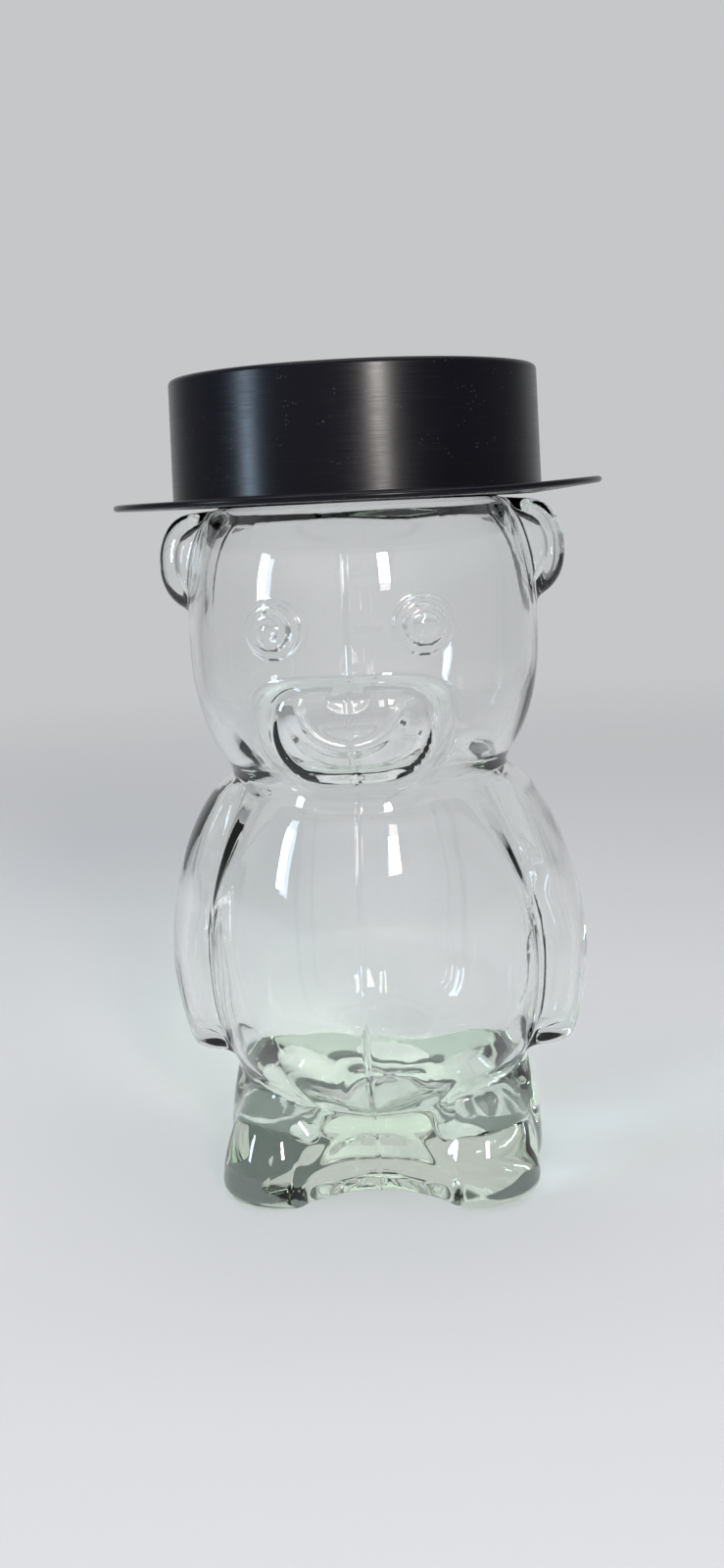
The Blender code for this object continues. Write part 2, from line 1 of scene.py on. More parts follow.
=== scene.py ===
"""Looks of the glass bear jar with the black hat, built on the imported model.

Metres, +Z up, the bear faces -Y. The glass is described by fields, functions that are negative
inside a form and positive outside it, as in the part's own source. Here they are followed by a
much finer skin, so that the glass refracts smoothly.
"""

import logging
import math
from dataclasses import dataclass, field
from enum import Enum
from typing import Callable, Optional, Sequence

import bmesh
import bpy
import numpy as np
from mathutils import Matrix, Vector


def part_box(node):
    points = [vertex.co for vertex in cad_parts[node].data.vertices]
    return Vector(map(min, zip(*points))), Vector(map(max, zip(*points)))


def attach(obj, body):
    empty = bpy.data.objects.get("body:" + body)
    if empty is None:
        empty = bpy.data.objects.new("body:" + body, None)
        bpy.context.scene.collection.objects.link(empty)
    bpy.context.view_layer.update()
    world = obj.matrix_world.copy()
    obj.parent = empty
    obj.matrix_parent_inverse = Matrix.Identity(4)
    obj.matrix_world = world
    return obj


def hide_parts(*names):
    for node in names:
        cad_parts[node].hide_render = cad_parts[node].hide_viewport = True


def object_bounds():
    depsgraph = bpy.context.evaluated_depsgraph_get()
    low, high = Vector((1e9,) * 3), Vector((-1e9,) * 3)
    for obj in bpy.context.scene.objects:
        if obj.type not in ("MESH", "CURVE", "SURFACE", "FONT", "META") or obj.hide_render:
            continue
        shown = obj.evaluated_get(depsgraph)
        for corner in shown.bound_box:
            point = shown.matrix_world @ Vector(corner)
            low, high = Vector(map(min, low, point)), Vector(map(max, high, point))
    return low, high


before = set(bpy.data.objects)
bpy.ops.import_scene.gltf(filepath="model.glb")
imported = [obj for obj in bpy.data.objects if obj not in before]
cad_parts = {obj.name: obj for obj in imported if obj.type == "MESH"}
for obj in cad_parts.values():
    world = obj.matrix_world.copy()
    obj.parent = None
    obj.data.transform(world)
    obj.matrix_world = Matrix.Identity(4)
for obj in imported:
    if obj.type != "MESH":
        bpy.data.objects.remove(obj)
CAD_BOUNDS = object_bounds()

log = logging.getLogger("bear_jar")

Array = np.ndarray
Field = Callable[[Array, Array, Array], Array]
Rays = tuple[Array, Array, Array]
Colour = tuple[float, float, float]

QUARTER_TURN = math.pi / 2.0
FULL_TURN = 2.0 * math.pi


class Body(str, Enum):
    """The bodies that pieces ride on."""

    JAR = "jar"
    HAT = "hat"


class Slot(str, Enum):
    """The material slots of the record."""

    GLASS = "clear_glass"
    PLASTIC = "black_plastic"


def put_in_scene(name: str, data: bpy.types.ID) -> bpy.types.Object:
    """A new object in the scene that holds the given mesh, lamp or camera."""
    made = bpy.data.objects.new(name, data)
    bpy.context.scene.collection.objects.link(made)
    return made


# ----- Fields -----


def smooth_step(start: float, end: float, value: Array) -> Array:
    """A share that rises from 0 at start to 1 at end with no corner."""
    share = np.clip((value - start) / (end - start), 0.0, 1.0)
    return share * share * (3.0 - 2.0 * share)


def melt(first: Array, second: Array, blend: float) -> Array:
    """Join two forms and fill the corner between them.

    Args:
        first: field of one form.
        second: field of the other form.
        blend: width over which they melt into each other.

    Returns:
        The field of both together.
    """
    share = np.clip(0.5 + 0.5 * (second - first) / blend, 0.0, 1.0)
    return second + (first - second) * share - blend * share * (1.0 - share)


def trim(first: Array, second: Array, blend: float) -> Array:
    """What two forms have in common, with the edge between them rounded over the blend."""
    return -melt(-first, -second, blend)


@dataclass(frozen=True)
class Egg:
    """A turned form whose halves above and below its middle have their own fullness."""

    height: float
    radius: float
    rise: float
    drop: float
    upper_power: float
    lower_power: float

    def depth(self, x: Array, y: Array, z: Array, inset: float = 0.0) -> Array:
        """Field of the egg, shrunk all round by the inset."""
        up = z > self.height
        power = np.where(up, self.upper_power, self.lower_power)
        reach = np.where(up, self.rise, self.drop) - inset
        radius = self.radius - inset
        total = (np.hypot(x, y) / radius) ** power + (np.abs(z - self.height) / reach) ** power
        return (total ** (1.0 / power) - 1.0) * radius

    def radius_at(self, z: Array) -> Array:
        """Radius at a height, and zero above and below the egg."""
        up = z > self.height
        power = np.where(up, self.upper_power, self.lower_power)
        reach = np.where(up, self.rise, self.drop)
        share = np.clip(np.abs(z - self.height) / reach, 0.0, 1.0)
        return self.radius * (1.0 - share ** power) ** (1.0 / power)


@dataclass(frozen=True)
class Pebble:
    """A rounded lump, boxier as its powers grow, that may stand on both sides of the bear."""

    centre: tuple[float, float, float]
    half_width: float
    half_depth: float
    rise: float
    drop: float
    plan_power: float = 2.0
    upper_power: float = 2.0
    lower_power: float = 2.0
    both_sides: bool = False

    def depth(self, x: Array, y: Array, z: Array, inset: float = 0.0) -> Array:
        """Field of the lump, shrunk all round by the inset."""
        across = np.abs(x) if self.both_sides else x
        width = self.half_width - inset
        depth = self.half_depth - inset
        plan = np.abs((across - self.centre[0]) / width) ** self.plan_power
        plan = plan + np.abs((y - self.centre[1]) / depth) ** self.plan_power
        plan = plan ** (1.0 / self.plan_power)
        height = z - self.centre[2]
        power = np.where(height > 0.0, self.upper_power, self.lower_power)
        reach = np.where(height > 0.0, self.rise, self.drop) - inset
        total = (plan ** power + np.abs(height / reach) ** power) ** (1.0 / power)
        return (total - 1.0) * min(width, depth, self.rise - inset)


@dataclass(frozen=True)
class Arms:
    """Both arms: at each height an oval, bent round the belly and half sunk in it."""

    height: float = 0.068
    half_length: float = 0.0565
    reach: float = 0.0640
    root_reach: float = 0.040
    power: float = 1.7
    sink: float = 0.0015
    hand_height: float = 0.0385
    hand_half_span: float = 0.010
    shoulder_half_span: float = 0.027
    shoulder_span_shares: tuple[float, float] = (-0.14, 0.83)
    thinnest: float = 0.001
    end_blend: float = 0.0035

    def half_span(self, z: Array) -> Array:
        """Half the width of an arm at a height, measured round the belly."""
        low, high = (self.height + self.half_length * part for part in self.shoulder_span_shares)
        widening = self.shoulder_half_span - self.hand_half_span
        return self.hand_half_span + widening * smooth_step(low, high, z)

    def edge_angle(self, z: Array, belly: Egg, top: float) -> Array:
        """Half the angle that an arm takes of the turn round the axis, up to a top height."""
        level = np.clip(z, self.hand_height, top)
        return self.half_span(level) / (belly.radius_at(level) - self.sink)

    def depth(self, x: Array, y: Array, z: Array, belly: Egg, inset: float = 0.0) -> Array:
        """Field of the arms.

        Args:
            x: places across the bear.
            y: places from front to back.
            z: heights.
            belly: the belly that the arms hug.
            inset: how far the arms shrink all round.

        Returns:
            The field of both arms.
        """
        share = np.clip(np.abs(z - self.height) / self.half_length, 0.0, 1.0)
        bulge = (1.0 - share ** self.power) ** (1.0 / self.power)
        outer = self.root_reach + (self.reach - self.root_reach) * bulge
        middle = np.maximum(belly.radius_at(z) - self.sink, self.thinnest)
        half_width = np.maximum(outer - middle - inset, self.thinnest)
        span = np.arctan2(np.abs(y), np.abs(x)) * middle / (self.half_span(z) - inset)
        oval = np.hypot((np.hypot(x, y) - middle) / half_width, span)
        arms = trim((oval - 1.0) * half_width, self.hand_height + inset - z, self.end_blend)
        return trim(arms, z - (self.height + self.half_length - inset), self.end_blend)


@dataclass(frozen=True)
class Wave:
    """One slow wave in the thickness of blown glass, round the axis and up it."""

    strength: float
    turns: float
    climb: float
    start: float = 0.0

    def at(self, turn: Array, z: Array) -> Array:
        """How far the wave moves the glass at an angle round the axis and a height."""
        return self.strength * np.sin(self.turns * turn + self.climb * z + self.start)


@dataclass(frozen=True)
class Walls:
    """How far the hollow stays inside each form, how softly it follows and how it waves."""

    body: float = 0.0036
    arm: float = 0.0046
    ear: float = 0.0050
    muzzle: float = 0.0042
    thinnest_share: float = 0.85
    blend: float = 0.005
    waist_blend: float = 0.009
    waviness: float = 0.00006
    foot_waviness: float = 0.0003
    foot_top: float = 0.060
    foot_middle: float = 0.032
    waves: tuple[Wave, ...] = (Wave(1.0, 3.0, 61.0), Wave(1.0, 5.0, -97.0, 1.3),
                               Wave(0.6, 9.0, 173.0, 0.4), Wave(0.4, 2.0, 331.0, 2.1))


@dataclass(frozen=True)
class Blends:
    """Widths over which neighbouring forms of the glass melt into each other."""

    ear: float = 0.002
    deck: float = 0.0025
    arm: float = 0.003
    foot: float = 0.005
    arch: float = 0.0008
    crease: float = 0.0018
    waist: float = 0.005
    muzzle: float = 0.0013


@dataclass(frozen=True)
class Neck:
    """The round mouth of the jar, hidden in the hat."""

    radius: float = 0.041
    height: float = 0.0195
    wall: float = 0.0032
    fillet: float = 0.0008
    rim_round: float = 0.0013
    rim_steps: int = 5

    @property
    def bore_radius(self) -> float:
        """Radius of the way in."""
        return self.radius - self.wall


@dataclass(frozen=True)
class Face:
    """What is pressed into the skin of the head: eyes, nose, smile and the line between them."""

    eye_spread: float = 0.0205
    eye_height: float = 0.170
    mound_radius: float = 0.0083
    disc_radius: float = 0.0057
    pupil_radius: float = 0.0031
    eye_edge: float = 0.0007
    mound_lift: float = 0.0011
    disc_lift: float = 0.0017
    pupil_lift: float = 0.0013
    nose_height: float = 0.1513
    nose_half_width: float = 0.0055
    nose_half_height: float = 0.0032
    nose_lift: float = 0.0010
    smile_height: float = 0.1510
    smile_half_width: float = 0.0150
    smile_drop: float = 0.0134
    smile_half_groove: float = 0.0016
    smile_depth: float = 0.0012
    brow_lift_share: float = 2.0

    @property
    def brow(self) -> float:
        """Height over the eyes up to which the rings stand close."""
        return self.eye_height + self.brow_lift_share * self.mound_radius - self.eye_edge

    def eyes(self, x: Array, z: Array) -> Array:
        """How far the eyes stand out: a low mound, a disc on it and a round pupil on that."""
        distance = np.hypot(np.abs(x) - self.eye_spread, z - self.eye_height)
        mound = smooth_step(self.mound_radius, self.mound_radius - self.eye_edge, distance)
        disc = smooth_step(self.disc_radius, self.disc_radius - self.eye_edge, distance)
        dome = np.sqrt(np.clip(1.0 - (distance / self.pupil_radius) ** 2, 0.0, 1.0))
        return self.mound_lift * mound + self.disc_lift * disc + self.pupil_lift * dome

    def mouth(self, x: Array, z: Array) -> Array:
        """How far the nose stands out of the muzzle and the smile is sunk in it."""
        nose = np.hypot(x / self.nose_half_width, (z - self.nose_height) / self.nose_half_height)
        lift = self.nose_lift * np.sqrt(np.clip(1.0 - nose ** 2, 0.0, 1.0))
        curve = np.hypot(x, (z - self.smile_height) * self.smile_half_width / self.smile_drop)
        offset = (curve - self.smile_half_width) / self.smile_half_groove
        below = smooth_step(self.smile_height, self.smile_height - self.nose_half_height, z)
        return lift - self.smile_depth * np.exp(-offset ** 2) * below


@dataclass(frozen=True)
class Seam:
    """The ridge left by the two halves of the mould, down the front and the back."""

    half_width: float = 0.0009
    lift: float = 0.0008
    top: float = 0.188
    fade: float = 0.0078

    def ridge(self, x: Array, z: Array) -> Array:
        """How far the seam stands out of the skin."""
        height = self.lift * smooth_step(self.half_width, 0.0, np.abs(x))
        return height * smooth_step(self.top + self.fade, self.top, z)


@dataclass(frozen=True)
class Underside:
    """The flat band that the jar stands on, round a shallow hollow."""

    corner: float = 0.0045
    band_share: float = 0.78
    punt_share: float = 0.66
    punt_depth: float = 0.002
    corner_steps: int = 7


@dataclass(frozen=True)
class SkinDensity:
    """How many rings and columns of points follow the glass, and how they are searched for."""

    face_angle: float = math.radians(36)
    face_columns: int = 78
    side_columns: int = 10
    band_columns: int = 56
    back_columns: int = 22
    band_share: float = 1.25
    foot_rings: int = 46
    belly_rings: int = 48
    face_rings: int = 94
    ear_rings: int = 16
    deck_rings: int = 14
    floor_rings: int = 26
    cavity_rings: int = 74
    search_steps: int = 60
    bisections: int = 16
    margin_share: float = 1.3
    dip: float = 0.024
    dip_reach: float = 0.048


@dataclass
class GlassBear:
    """The jar: one piece of glass, a bear outside and a softer bear-shaped hollow inside."""

    belly: Egg = Egg(
        height=0.074, radius=0.0515, rise=0.0706, drop=0.054, upper_power=2.3, lower_power=3.0)
    head: Egg = Egg(
        height=0.165, radius=0.0518, rise=0.0515, drop=0.0525, upper_power=3.0, lower_power=2.5)
    ears: Pebble = Pebble(
        centre=(0.0449, 0.0, 0.188125), half_width=0.0155, half_depth=0.0085, rise=0.0155,
        drop=0.0155, plan_power=2.3, upper_power=2.3, lower_power=2.3, both_sides=True)
    muzzle: Pebble = Pebble(
        centre=(0.0, -0.0345, 0.1465), half_width=0.0280, half_depth=0.0228, rise=0.0122,
        drop=0.0226, plan_power=2.7, upper_power=2.8, lower_power=2.4)
    block: Pebble = Pebble(
        centre=(0.0, 0.0, 0.008), half_width=0.0485, half_depth=0.038, rise=0.067, drop=0.067)
    toes: Pebble = Pebble(
        centre=(0.0305, -0.024, 0.0), half_width=0.0175, half_depth=0.020, rise=0.032,
        drop=0.032, both_sides=True)
    arch: Pebble = Pebble(
        centre=(0.0, -0.050, 0.0), half_width=0.0268, half_depth=0.019, rise=0.0242,
        drop=0.0242, upper_power=3.2, lower_power=3.2)
    back_arch: Pebble = Pebble(
        centre=(0.0, 0.051, 0.0), half_width=0.026, half_depth=0.018, rise=0.0235,
        drop=0.0235, upper_power=3.2, lower_power=3.2)
    pockets: Pebble = Pebble(
        centre=(0.0265, -0.008, 0.030), half_width=0.0165, half_depth=0.021, rise=0.022,
        drop=0.021, both_sides=True)
    arms: Arms = Arms()
    walls: Walls = Walls()
    blends: Blends = Blends()
    neck: Neck = Neck()
    face: Face = Face()
    seam: Seam = Seam()
    underside: Underside = Underside()
    density: SkinDensity = SkinDensity()
    deck_height: float = 0.203625
    sharp_angle: float = math.radians(50)

    @property
    def rim_height(self) -> float:
        """Height of the top of the neck."""
        return self.deck_height + self.neck.height

    def outside(self, x: Array, y: Array, z: Array) -> Array:
        """Field of the bear as it is seen from outside."""
        return trim(self.bear(x, y, z), z - self.deck_height, self.blends.deck)

    def bear(self, x: Array, y: Array, z: Array) -> Array:
        """Field of the whole bear, before the top of the head is cut flat."""
        head = melt(self.head.depth(x, y, z), self.ears.depth(x, y, z), self.blends.ear)
        head = melt(head, self.muzzle.depth(x, y, z), self.blends.muzzle)
        arms = self.arms.depth(x, y, z, self.belly)
        trunk = melt(self.belly.depth(x, y, z), arms, self.blends.arm)
        trunk = melt(trunk, self.feet(x, y, z), self.blends.crease)
        return melt(head, trunk, self.blends.waist)

    def feet(self, x: Array, y: Array, z: Array) -> Array:
        """Field of the block under the belly with its toes, cut away by the two arches."""
        foot = melt(self.block.depth(x, y, z), self.toes.depth(x, y, z), self.blends.foot)
        foot = trim(foot, -self.arch.depth(x, y, z), self.blends.arch)
        return trim(foot, -self.back_arch.depth(x, y, z), self.blends.arch)

    def hollow(self, x: Array, y: Array, z: Array) -> Array:
        """Field of the hollow, which follows the outside softly and leaves the feet thick."""
        walls = self.walls
        head = melt(self.head.depth(x, y, z, walls.body), self.ears.depth(x, y, z, walls.ear),
                    walls.blend)
        head = melt(head, self.muzzle.depth(x, y, z, walls.muzzle), walls.blend)
        arms = self.arms.depth(x, y, z, self.belly, walls.arm)
        trunk = melt(self.belly.depth(x, y, z, walls.body), arms, walls.blend)
        trunk = melt(trunk, self.pockets.depth(x, y, z), walls.blend)
        hollow = melt(head, trunk, walls.waist_blend) + self.uneven_glass(x, y, z)
        skin = self.bear(x, y, z) + walls.body * walls.thinnest_share
        hollow = np.maximum(hollow, skin)
        bore = np.maximum(np.hypot(x, y) - self.neck.bore_radius, self.head.height - z)
        return np.minimum(hollow, bore)

    def uneven_glass(self, x: Array, y: Array, z: Array) -> Array:
        """Slow waves in the thickness of the glass that never line up, stronger in the feet."""
        walls = self.walls
        turn = np.arctan2(x, -y)
        waves = sum(wave.at(turn, z) for wave in walls.waves)
        growth = smooth_step(walls.foot_top, walls.foot_middle, z)
        return (walls.waviness + (walls.foot_waviness - walls.waviness) * growth) * waves

    def relief(self, x: Array, y: Array, z: Array) -> Array:
        """How far eyes, nose, smile and seams stand out of the skin."""
        pressed = self.face.eyes(x, z) + self.face.mouth(x, z)
        return np.where(y < 0.0, pressed, 0.0) + self.seam.ridge(x, z)

    def column_angles(self, levels: Array) -> Array:
        """Angles round the axis from the front, a row a level.

        Args:
            levels: heights of the rows.

        Returns:
            The angles; columns stand close on the face and keep to the edges of arms and ears.
        """
        density = self.density
        waist = self.arms.height + self.arms.half_length
        arm = self.arms.edge_angle(levels, self.belly, waist)
        ear = math.atan2(self.ears.half_depth, self.ears.centre[0])
        muzzle_top = self.muzzle.centre[2] + self.muzzle.rise
        edges = arm + (ear - arm) * smooth_step(waist, muzzle_top, levels)
        rows = []
        for edge in edges * density.band_share:
            half = np.concatenate([
                np.linspace(0.0, density.face_angle, density.face_columns, endpoint=False),
                np.linspace(density.face_angle, QUARTER_TURN - edge, density.side_columns,
                            endpoint=False),
                np.linspace(QUARTER_TURN - edge, QUARTER_TURN + edge, density.band_columns,
                            endpoint=False),
                np.linspace(QUARTER_TURN + edge, math.pi, density.back_columns, endpoint=False)])
            rows.append(np.concatenate([half, [math.pi], FULL_TURN - half[:0:-1]]))
        return np.stack(rows)

    def outer_rays(self) -> Rays:
        """Start heights, slopes and angles of the rays that find the outside, foot to neck.

        Rays dip towards the hands, whose ends face down, and rise towards the deck.
        """
        density = self.density
        hand = self.arms.hand_height
        waist = self.arms.height + self.arms.half_length
        top = np.full(density.deck_rings, self.ears.centre[2])
        brow = self.face.brow
        ear = self.ears.centre[2]
        levels = np.concatenate([
            np.linspace(self.underside.corner, hand, density.foot_rings, endpoint=False),
            np.linspace(hand, waist, density.belly_rings, endpoint=False),
            np.linspace(waist, brow, density.face_rings, endpoint=False),
            np.linspace(brow, ear, density.ear_rings),
        ])
        dip_top = hand + density.dip_reach
        dip = smooth_step(self.underside.corner, hand, levels) - smooth_step(hand, dip_top, levels)
        starts = levels + dip * density.dip
        slopes = np.arctan2(levels - starts, self.arms.reach)
        rim = math.atan2(self.deck_height - ear, self.neck.radius + self.neck.fillet)
        fan = np.linspace(0.0, rim, density.deck_rings + 1)[1:]
        angles = self.column_angles(np.concatenate([levels, top]))
        return np.concatenate([starts, top]), np.concatenate([slopes, fan]), angles

    def inner_rays(self) -> Rays:
        """Start heights, slopes and angles of the rays that find the hollow, floor to bore."""
        density = self.density
        middle = self.belly.height
        ear = self.ears.centre[2]
        floor = np.linspace(-QUARTER_TURN, 0.0, density.floor_rings + 1)[1:]
        heights = np.linspace(middle, ear, density.cavity_rings + 1)[1:]
        rim = math.atan2(self.deck_height - ear, self.neck.bore_radius)
        fan = np.linspace(0.0, rim, density.deck_rings + 1)[1:]
        starts = np.concatenate([np.full(density.floor_rings, middle), heights,
                                 np.full(density.deck_rings, ear)])
        slopes = np.concatenate([floor, np.zeros(density.cavity_rings), fan])
        levels = np.clip(starts + self.arms.reach * np.sin(slopes), self.underside.corner, ear)
        return starts, slopes, self.column_angles(levels)[:, ::2]

    def find_skin(self, form: Field, rays: Rays) -> Array:
        """Find where each ray leaves a form for the last time.

        Args:
            form: the field of the form.
            rays: start heights, slopes and angles of the rays.

        Returns:
            The distance along each ray, one row a ring.
        """
        reach = self.density.margin_share * self.arms.reach
        step = reach / self.density.search_steps
        shape = rays[2].shape
        near, far = np.zeros(shape), np.full(shape, step)
        for index in range(1, self.density.search_steps):
            distance = np.full(shape, index * step)
            inside = form(*ray_points(distance, rays)) < 0.0
            near = np.where(inside, distance, near)
            far = np.where(inside, distance + step, far)
        for _ in range(self.density.bisections):
            middle = (near + far) / 2.0
            inside = form(*ray_points(middle, rays)) < 0.0
            near = np.where(inside, middle, near)
            far = np.where(inside, far, middle)
        return (near + far) / 2.0

    def base_rings(self, lowest: Array) -> list[Array]:
        """Rings from the hollow under the base, over the flat band and round the corner."""
        under = self.underside
        rings = [inward_ring(lowest, under.corner, under.punt_depth, under.punt_share),
                 inward_ring(lowest, under.corner, 0.0, under.band_share)]
        for index in range(under.corner_steps):
            angle = QUARTER_TURN * index / under.corner_steps
            inset = under.corner * (1.0 - math.sin(angle))
            rings.append(inward_ring(lowest, inset, under.corner * (1.0 - math.cos(angle)), 1.0))
        return rings

    def rim_rings(self, angles: Array, inner_angles: Array) -> list[Array]:
        """Rings up the neck, over its rounded rim and down to the bore."""
        neck = self.neck
        rings = [round_ring(neck.radius, self.deck_height + neck.fillet, angles)]
        for step in range(neck.rim_steps + 1):
            angle = QUARTER_TURN * step / neck.rim_steps
            radius = neck.radius - neck.rim_round * (1.0 - math.cos(angle))
            height = self.rim_height - neck.rim_round * (1.0 - math.sin(angle))
            rings.append(round_ring(radius, height, angles))
        for step in range(neck.rim_steps + 1):
            angle = QUARTER_TURN * step / neck.rim_steps
            radius = neck.bore_radius + neck.rim_round * (1.0 - math.sin(angle))
            height = self.rim_height - neck.rim_round * (1.0 - math.cos(angle))
            rings.append(round_ring(radius, height, inner_angles))
        return rings

    def build(self) -> bpy.types.Object:
        """Make the jar, outside and hollow joined at the rim of the neck."""
        outer, inner = self.outer_rays(), self.inner_rays()
        distance = self.find_skin(self.outside, outer)
        distance = distance + self.relief(*ray_points(distance, outer))
        outside = np.stack(ray_points(distance, outer), axis=-1)
        hollow = np.stack(ray_points(self.find_skin(self.hollow, inner), inner), axis=-1)
        rows = self.base_rings(outside[0]) + list(outside)
        rows = rows + self.rim_rings(outer[2][-1], inner[2][-1]) + list(hollow[::-1])
        skin = RingMesh(rows)
        skin.close(0, (0.0, 0.0, self.underside.punt_depth))
        skin.close(len(rows) - 1, (0.0, 0.0, float(hollow[0][:, 2].mean())))
        return skin.make_object("glass_bear", self.sharp_angle)

    def dress(self, material: bpy.types.Material) -> bpy.types.Object:
        """Build the jar, give it its glass and set it on its body."""
        piece = self.build()
        piece.data.materials.append(material)
        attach(piece, Body.JAR.value)
        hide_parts("bear_jar")
        return piece


def ray_points(distance: Array, rays: Rays) -> tuple[Array, Array, Array]:
    """Points at the given distances along the rays, as x, y and z."""
    starts, slopes, angles = rays
    across = distance * np.cos(slopes)[:, None]
    height = starts[:, None] + distance * np.sin(slopes)[:, None]
    return across * np.sin(angles), -across * np.cos(angles), height


def round_ring(radius: float, height: float, angles: Array) -> Array:
    """A level circle of points."""
    return np.stack([radius * np.sin(angles), -radius * np.cos(angles),
                     np.full(len(angles), height)], axis=-1)


def inward_ring(ring: Array, inset: float, height: float, share: float) -> Array:
    """A ring drawn in towards the axis by an inset and a share, and set at a height."""
    flat = ring[:, :2]
    radius = np.linalg.norm(flat, axis=1, keepdims=True)
    return np.column_stack([flat / radius * (radius - inset) * share, np.full(len(ring), height)])


class RingMesh:
    """A skin drawn over rings of points, each ring as full as the last or half as full."""

    def __init__(self, rows: Sequence[Array]) -> None:
        """Join each ring to the next.

        Args:
            rows: rings of points, in order along the skin.
        """
        self.points: list[tuple[float, float, float]] = []
        self.faces: list[tuple[int, ...]] = []
        self.rings: list[range] = []
        for row in rows:
            first = len(self.points)
            self.points.extend(map(tuple, row.tolist()))
            self.rings.append(range(first, len(self.points)))
        for lower, upper in zip(self.rings, self.rings[1:]):
            self.join(lower, upper)

    def join(self, lower: range, upper: range) -> None:
        """Add the faces between two rings; where the upper has half the points, in threes."""
        if len(lower) == len(upper):
            self.faces.extend((lower[i], lower[i - len(lower) + 1], upper[i - len(upper) + 1],
                               upper[i]) for i in range(len(lower)))
            return
        for i in range(len(upper)):
            j = (i + 1) % len(upper)
            middle = lower[2 * i + 1]
            self.faces.append((lower[2 * i], middle, upper[i]))
            self.faces.append((middle, upper[j], upper[i]))
            self.faces.append((middle, lower[2 * j], upper[j]))

    def close(self, index: int, tip: tuple[float, float, float]) -> None:
        """Close the first or the last ring with a fan of faces to a point on the axis."""
        ring = self.rings[index]
        self.points.append(tip)
        top = len(self.points) - 1
        for i in range(len(ring)):
            j = (i + 1) % len(ring)
            self.faces.append((ring[i], ring[j], top) if index else (ring[j], ring[i], top))

    def make_object(self, name: str, sharp_angle: float) -> bpy.types.Object:
        """A smooth shaded object of this skin, sharp only at real edges."""
        data = bpy.data.meshes.new(name)
        data.from_pydata(self.points, [], self.faces)
        data.validate()
        data.shade_smooth()
        data.set_sharp_from_angle(angle=sharp_angle)
        log.info("%s: %d faces", name, len(data.polygons))
        return put_in_scene(name, data)


# ----- Node helpers -----


VALUE = "NodeSocketFloat"
WHOLE = "NodeSocketInt"
VECTOR = "NodeSocketVector"
GEOMETRY = "NodeSocketGeometry"
MATERIAL = "NodeSocketMaterial"

# Places of the colour sockets of a Mix node, whose names its other kinds of value share.
MIX_FIRST = 6
MIX_SECOND = 7
MIX_RESULT = 2


class NodeBench:
    """A node tree with short ways to add nodes and link them."""

    def __init__(self, tree: bpy.types.NodeTree) -> None:
        """Work on a tree.

        Args:
            tree: the node tree to add to.
        """
        self.tree = tree

    def add(self, kind: str, settings: Optional[dict] = None, **inputs: object) -> bpy.types.Node:
        """Add a node.

        Args:
            kind: the node's Blender type.
            settings: the node's own properties.
            inputs: values or output sockets for its inputs; spaces are written as underscores,
                and a number after "in" picks an input by its place.

        Returns:
            The node.
        """
        node = self.tree.nodes.new(kind)
        for name, value in (settings or {}).items():
            setattr(node, name, value)
        for name, value in inputs.items():
            by_place = name.startswith("in") and name[2:].isdigit()
            key = int(name[2:]) if by_place else name.replace("_", " ")
            self.feed(node.inputs[key], value)
        return node

    def feed(self, socket: bpy.types.NodeSocket, value: object) -> None:
        """Link an output to a socket, or set the socket to a value."""
        if isinstance(value, bpy.types.NodeSocket):
            self.tree.links.new(value, socket)
        else:
            socket.default_value = value

    def math(self, operation: str, *values: object) -> bpy.types.NodeSocket:
        """Result of a Math node."""
        node = self.add("ShaderNodeMath", {"operation": operation})
        for socket, value in zip(node.inputs, values):
            self.feed(socket, value)
        return node.outputs[0]

    def ramp(self, value: object, low: object, high: object, start: float = 0.0,
             end: float = 1.0) -> bpy.types.NodeSocket:
        """A value carried smoothly from one range to another."""
        node = self.add("ShaderNodeMapRange", {"interpolation_type": "SMOOTHSTEP"}, Value=value,
                        From_Min=low, From_Max=high, To_Min=start, To_Max=end)
        return node.outputs["Result"]

    def noise(self, vector: object, scale: float, detail: float = 2.0,
              roughness: float = 0.5) -> bpy.types.NodeSocket:
        """Value of a noise texture."""
        node = self.add("ShaderNodeTexNoise", Vector=vector, Scale=scale, Detail=detail,
                        Roughness=roughness)
        return node.outputs[0]

    def blend(self, share: object, first: object, second: object) -> bpy.types.NodeSocket:
        """A mix of two colours."""
        node = self.add("ShaderNodeMix", {"data_type": "RGBA"})
        self.feed(node.inputs["Factor"], share)
        self.feed(node.inputs[MIX_FIRST], first)
        self.feed(node.inputs[MIX_SECOND], second)
        return node.outputs[MIX_RESULT]


@dataclass(frozen=True)
class GroupSocket:
    """One named input or output of a node group."""

    name: str
    kind: str
    value: Optional[float] = None


def new_group(name: str, kind: str, inputs: Sequence[GroupSocket],
              outputs: Sequence[GroupSocket]) -> tuple[NodeBench, bpy.types.Node, bpy.types.Node]:
    """Start a node group.

    Args:
        name: name of the group.
        kind: Blender type of its tree.
        inputs: its input sockets.
        outputs: its output sockets.

    Returns:
        A bench on the tree, its input node and its output node.
    """
    tree = bpy.data.node_groups.new(name, kind)
    for direction, sockets in (("INPUT", inputs), ("OUTPUT", outputs)):
        for item in sockets:
            socket = tree.interface.new_socket(item.name, in_out=direction, socket_type=item.kind)
            if item.value is not None:
                socket.default_value = item.value
    bench = NodeBench(tree)
    return bench, bench.add("NodeGroupInput"), bench.add("NodeGroupOutput")


# ----- Shared surface effects -----


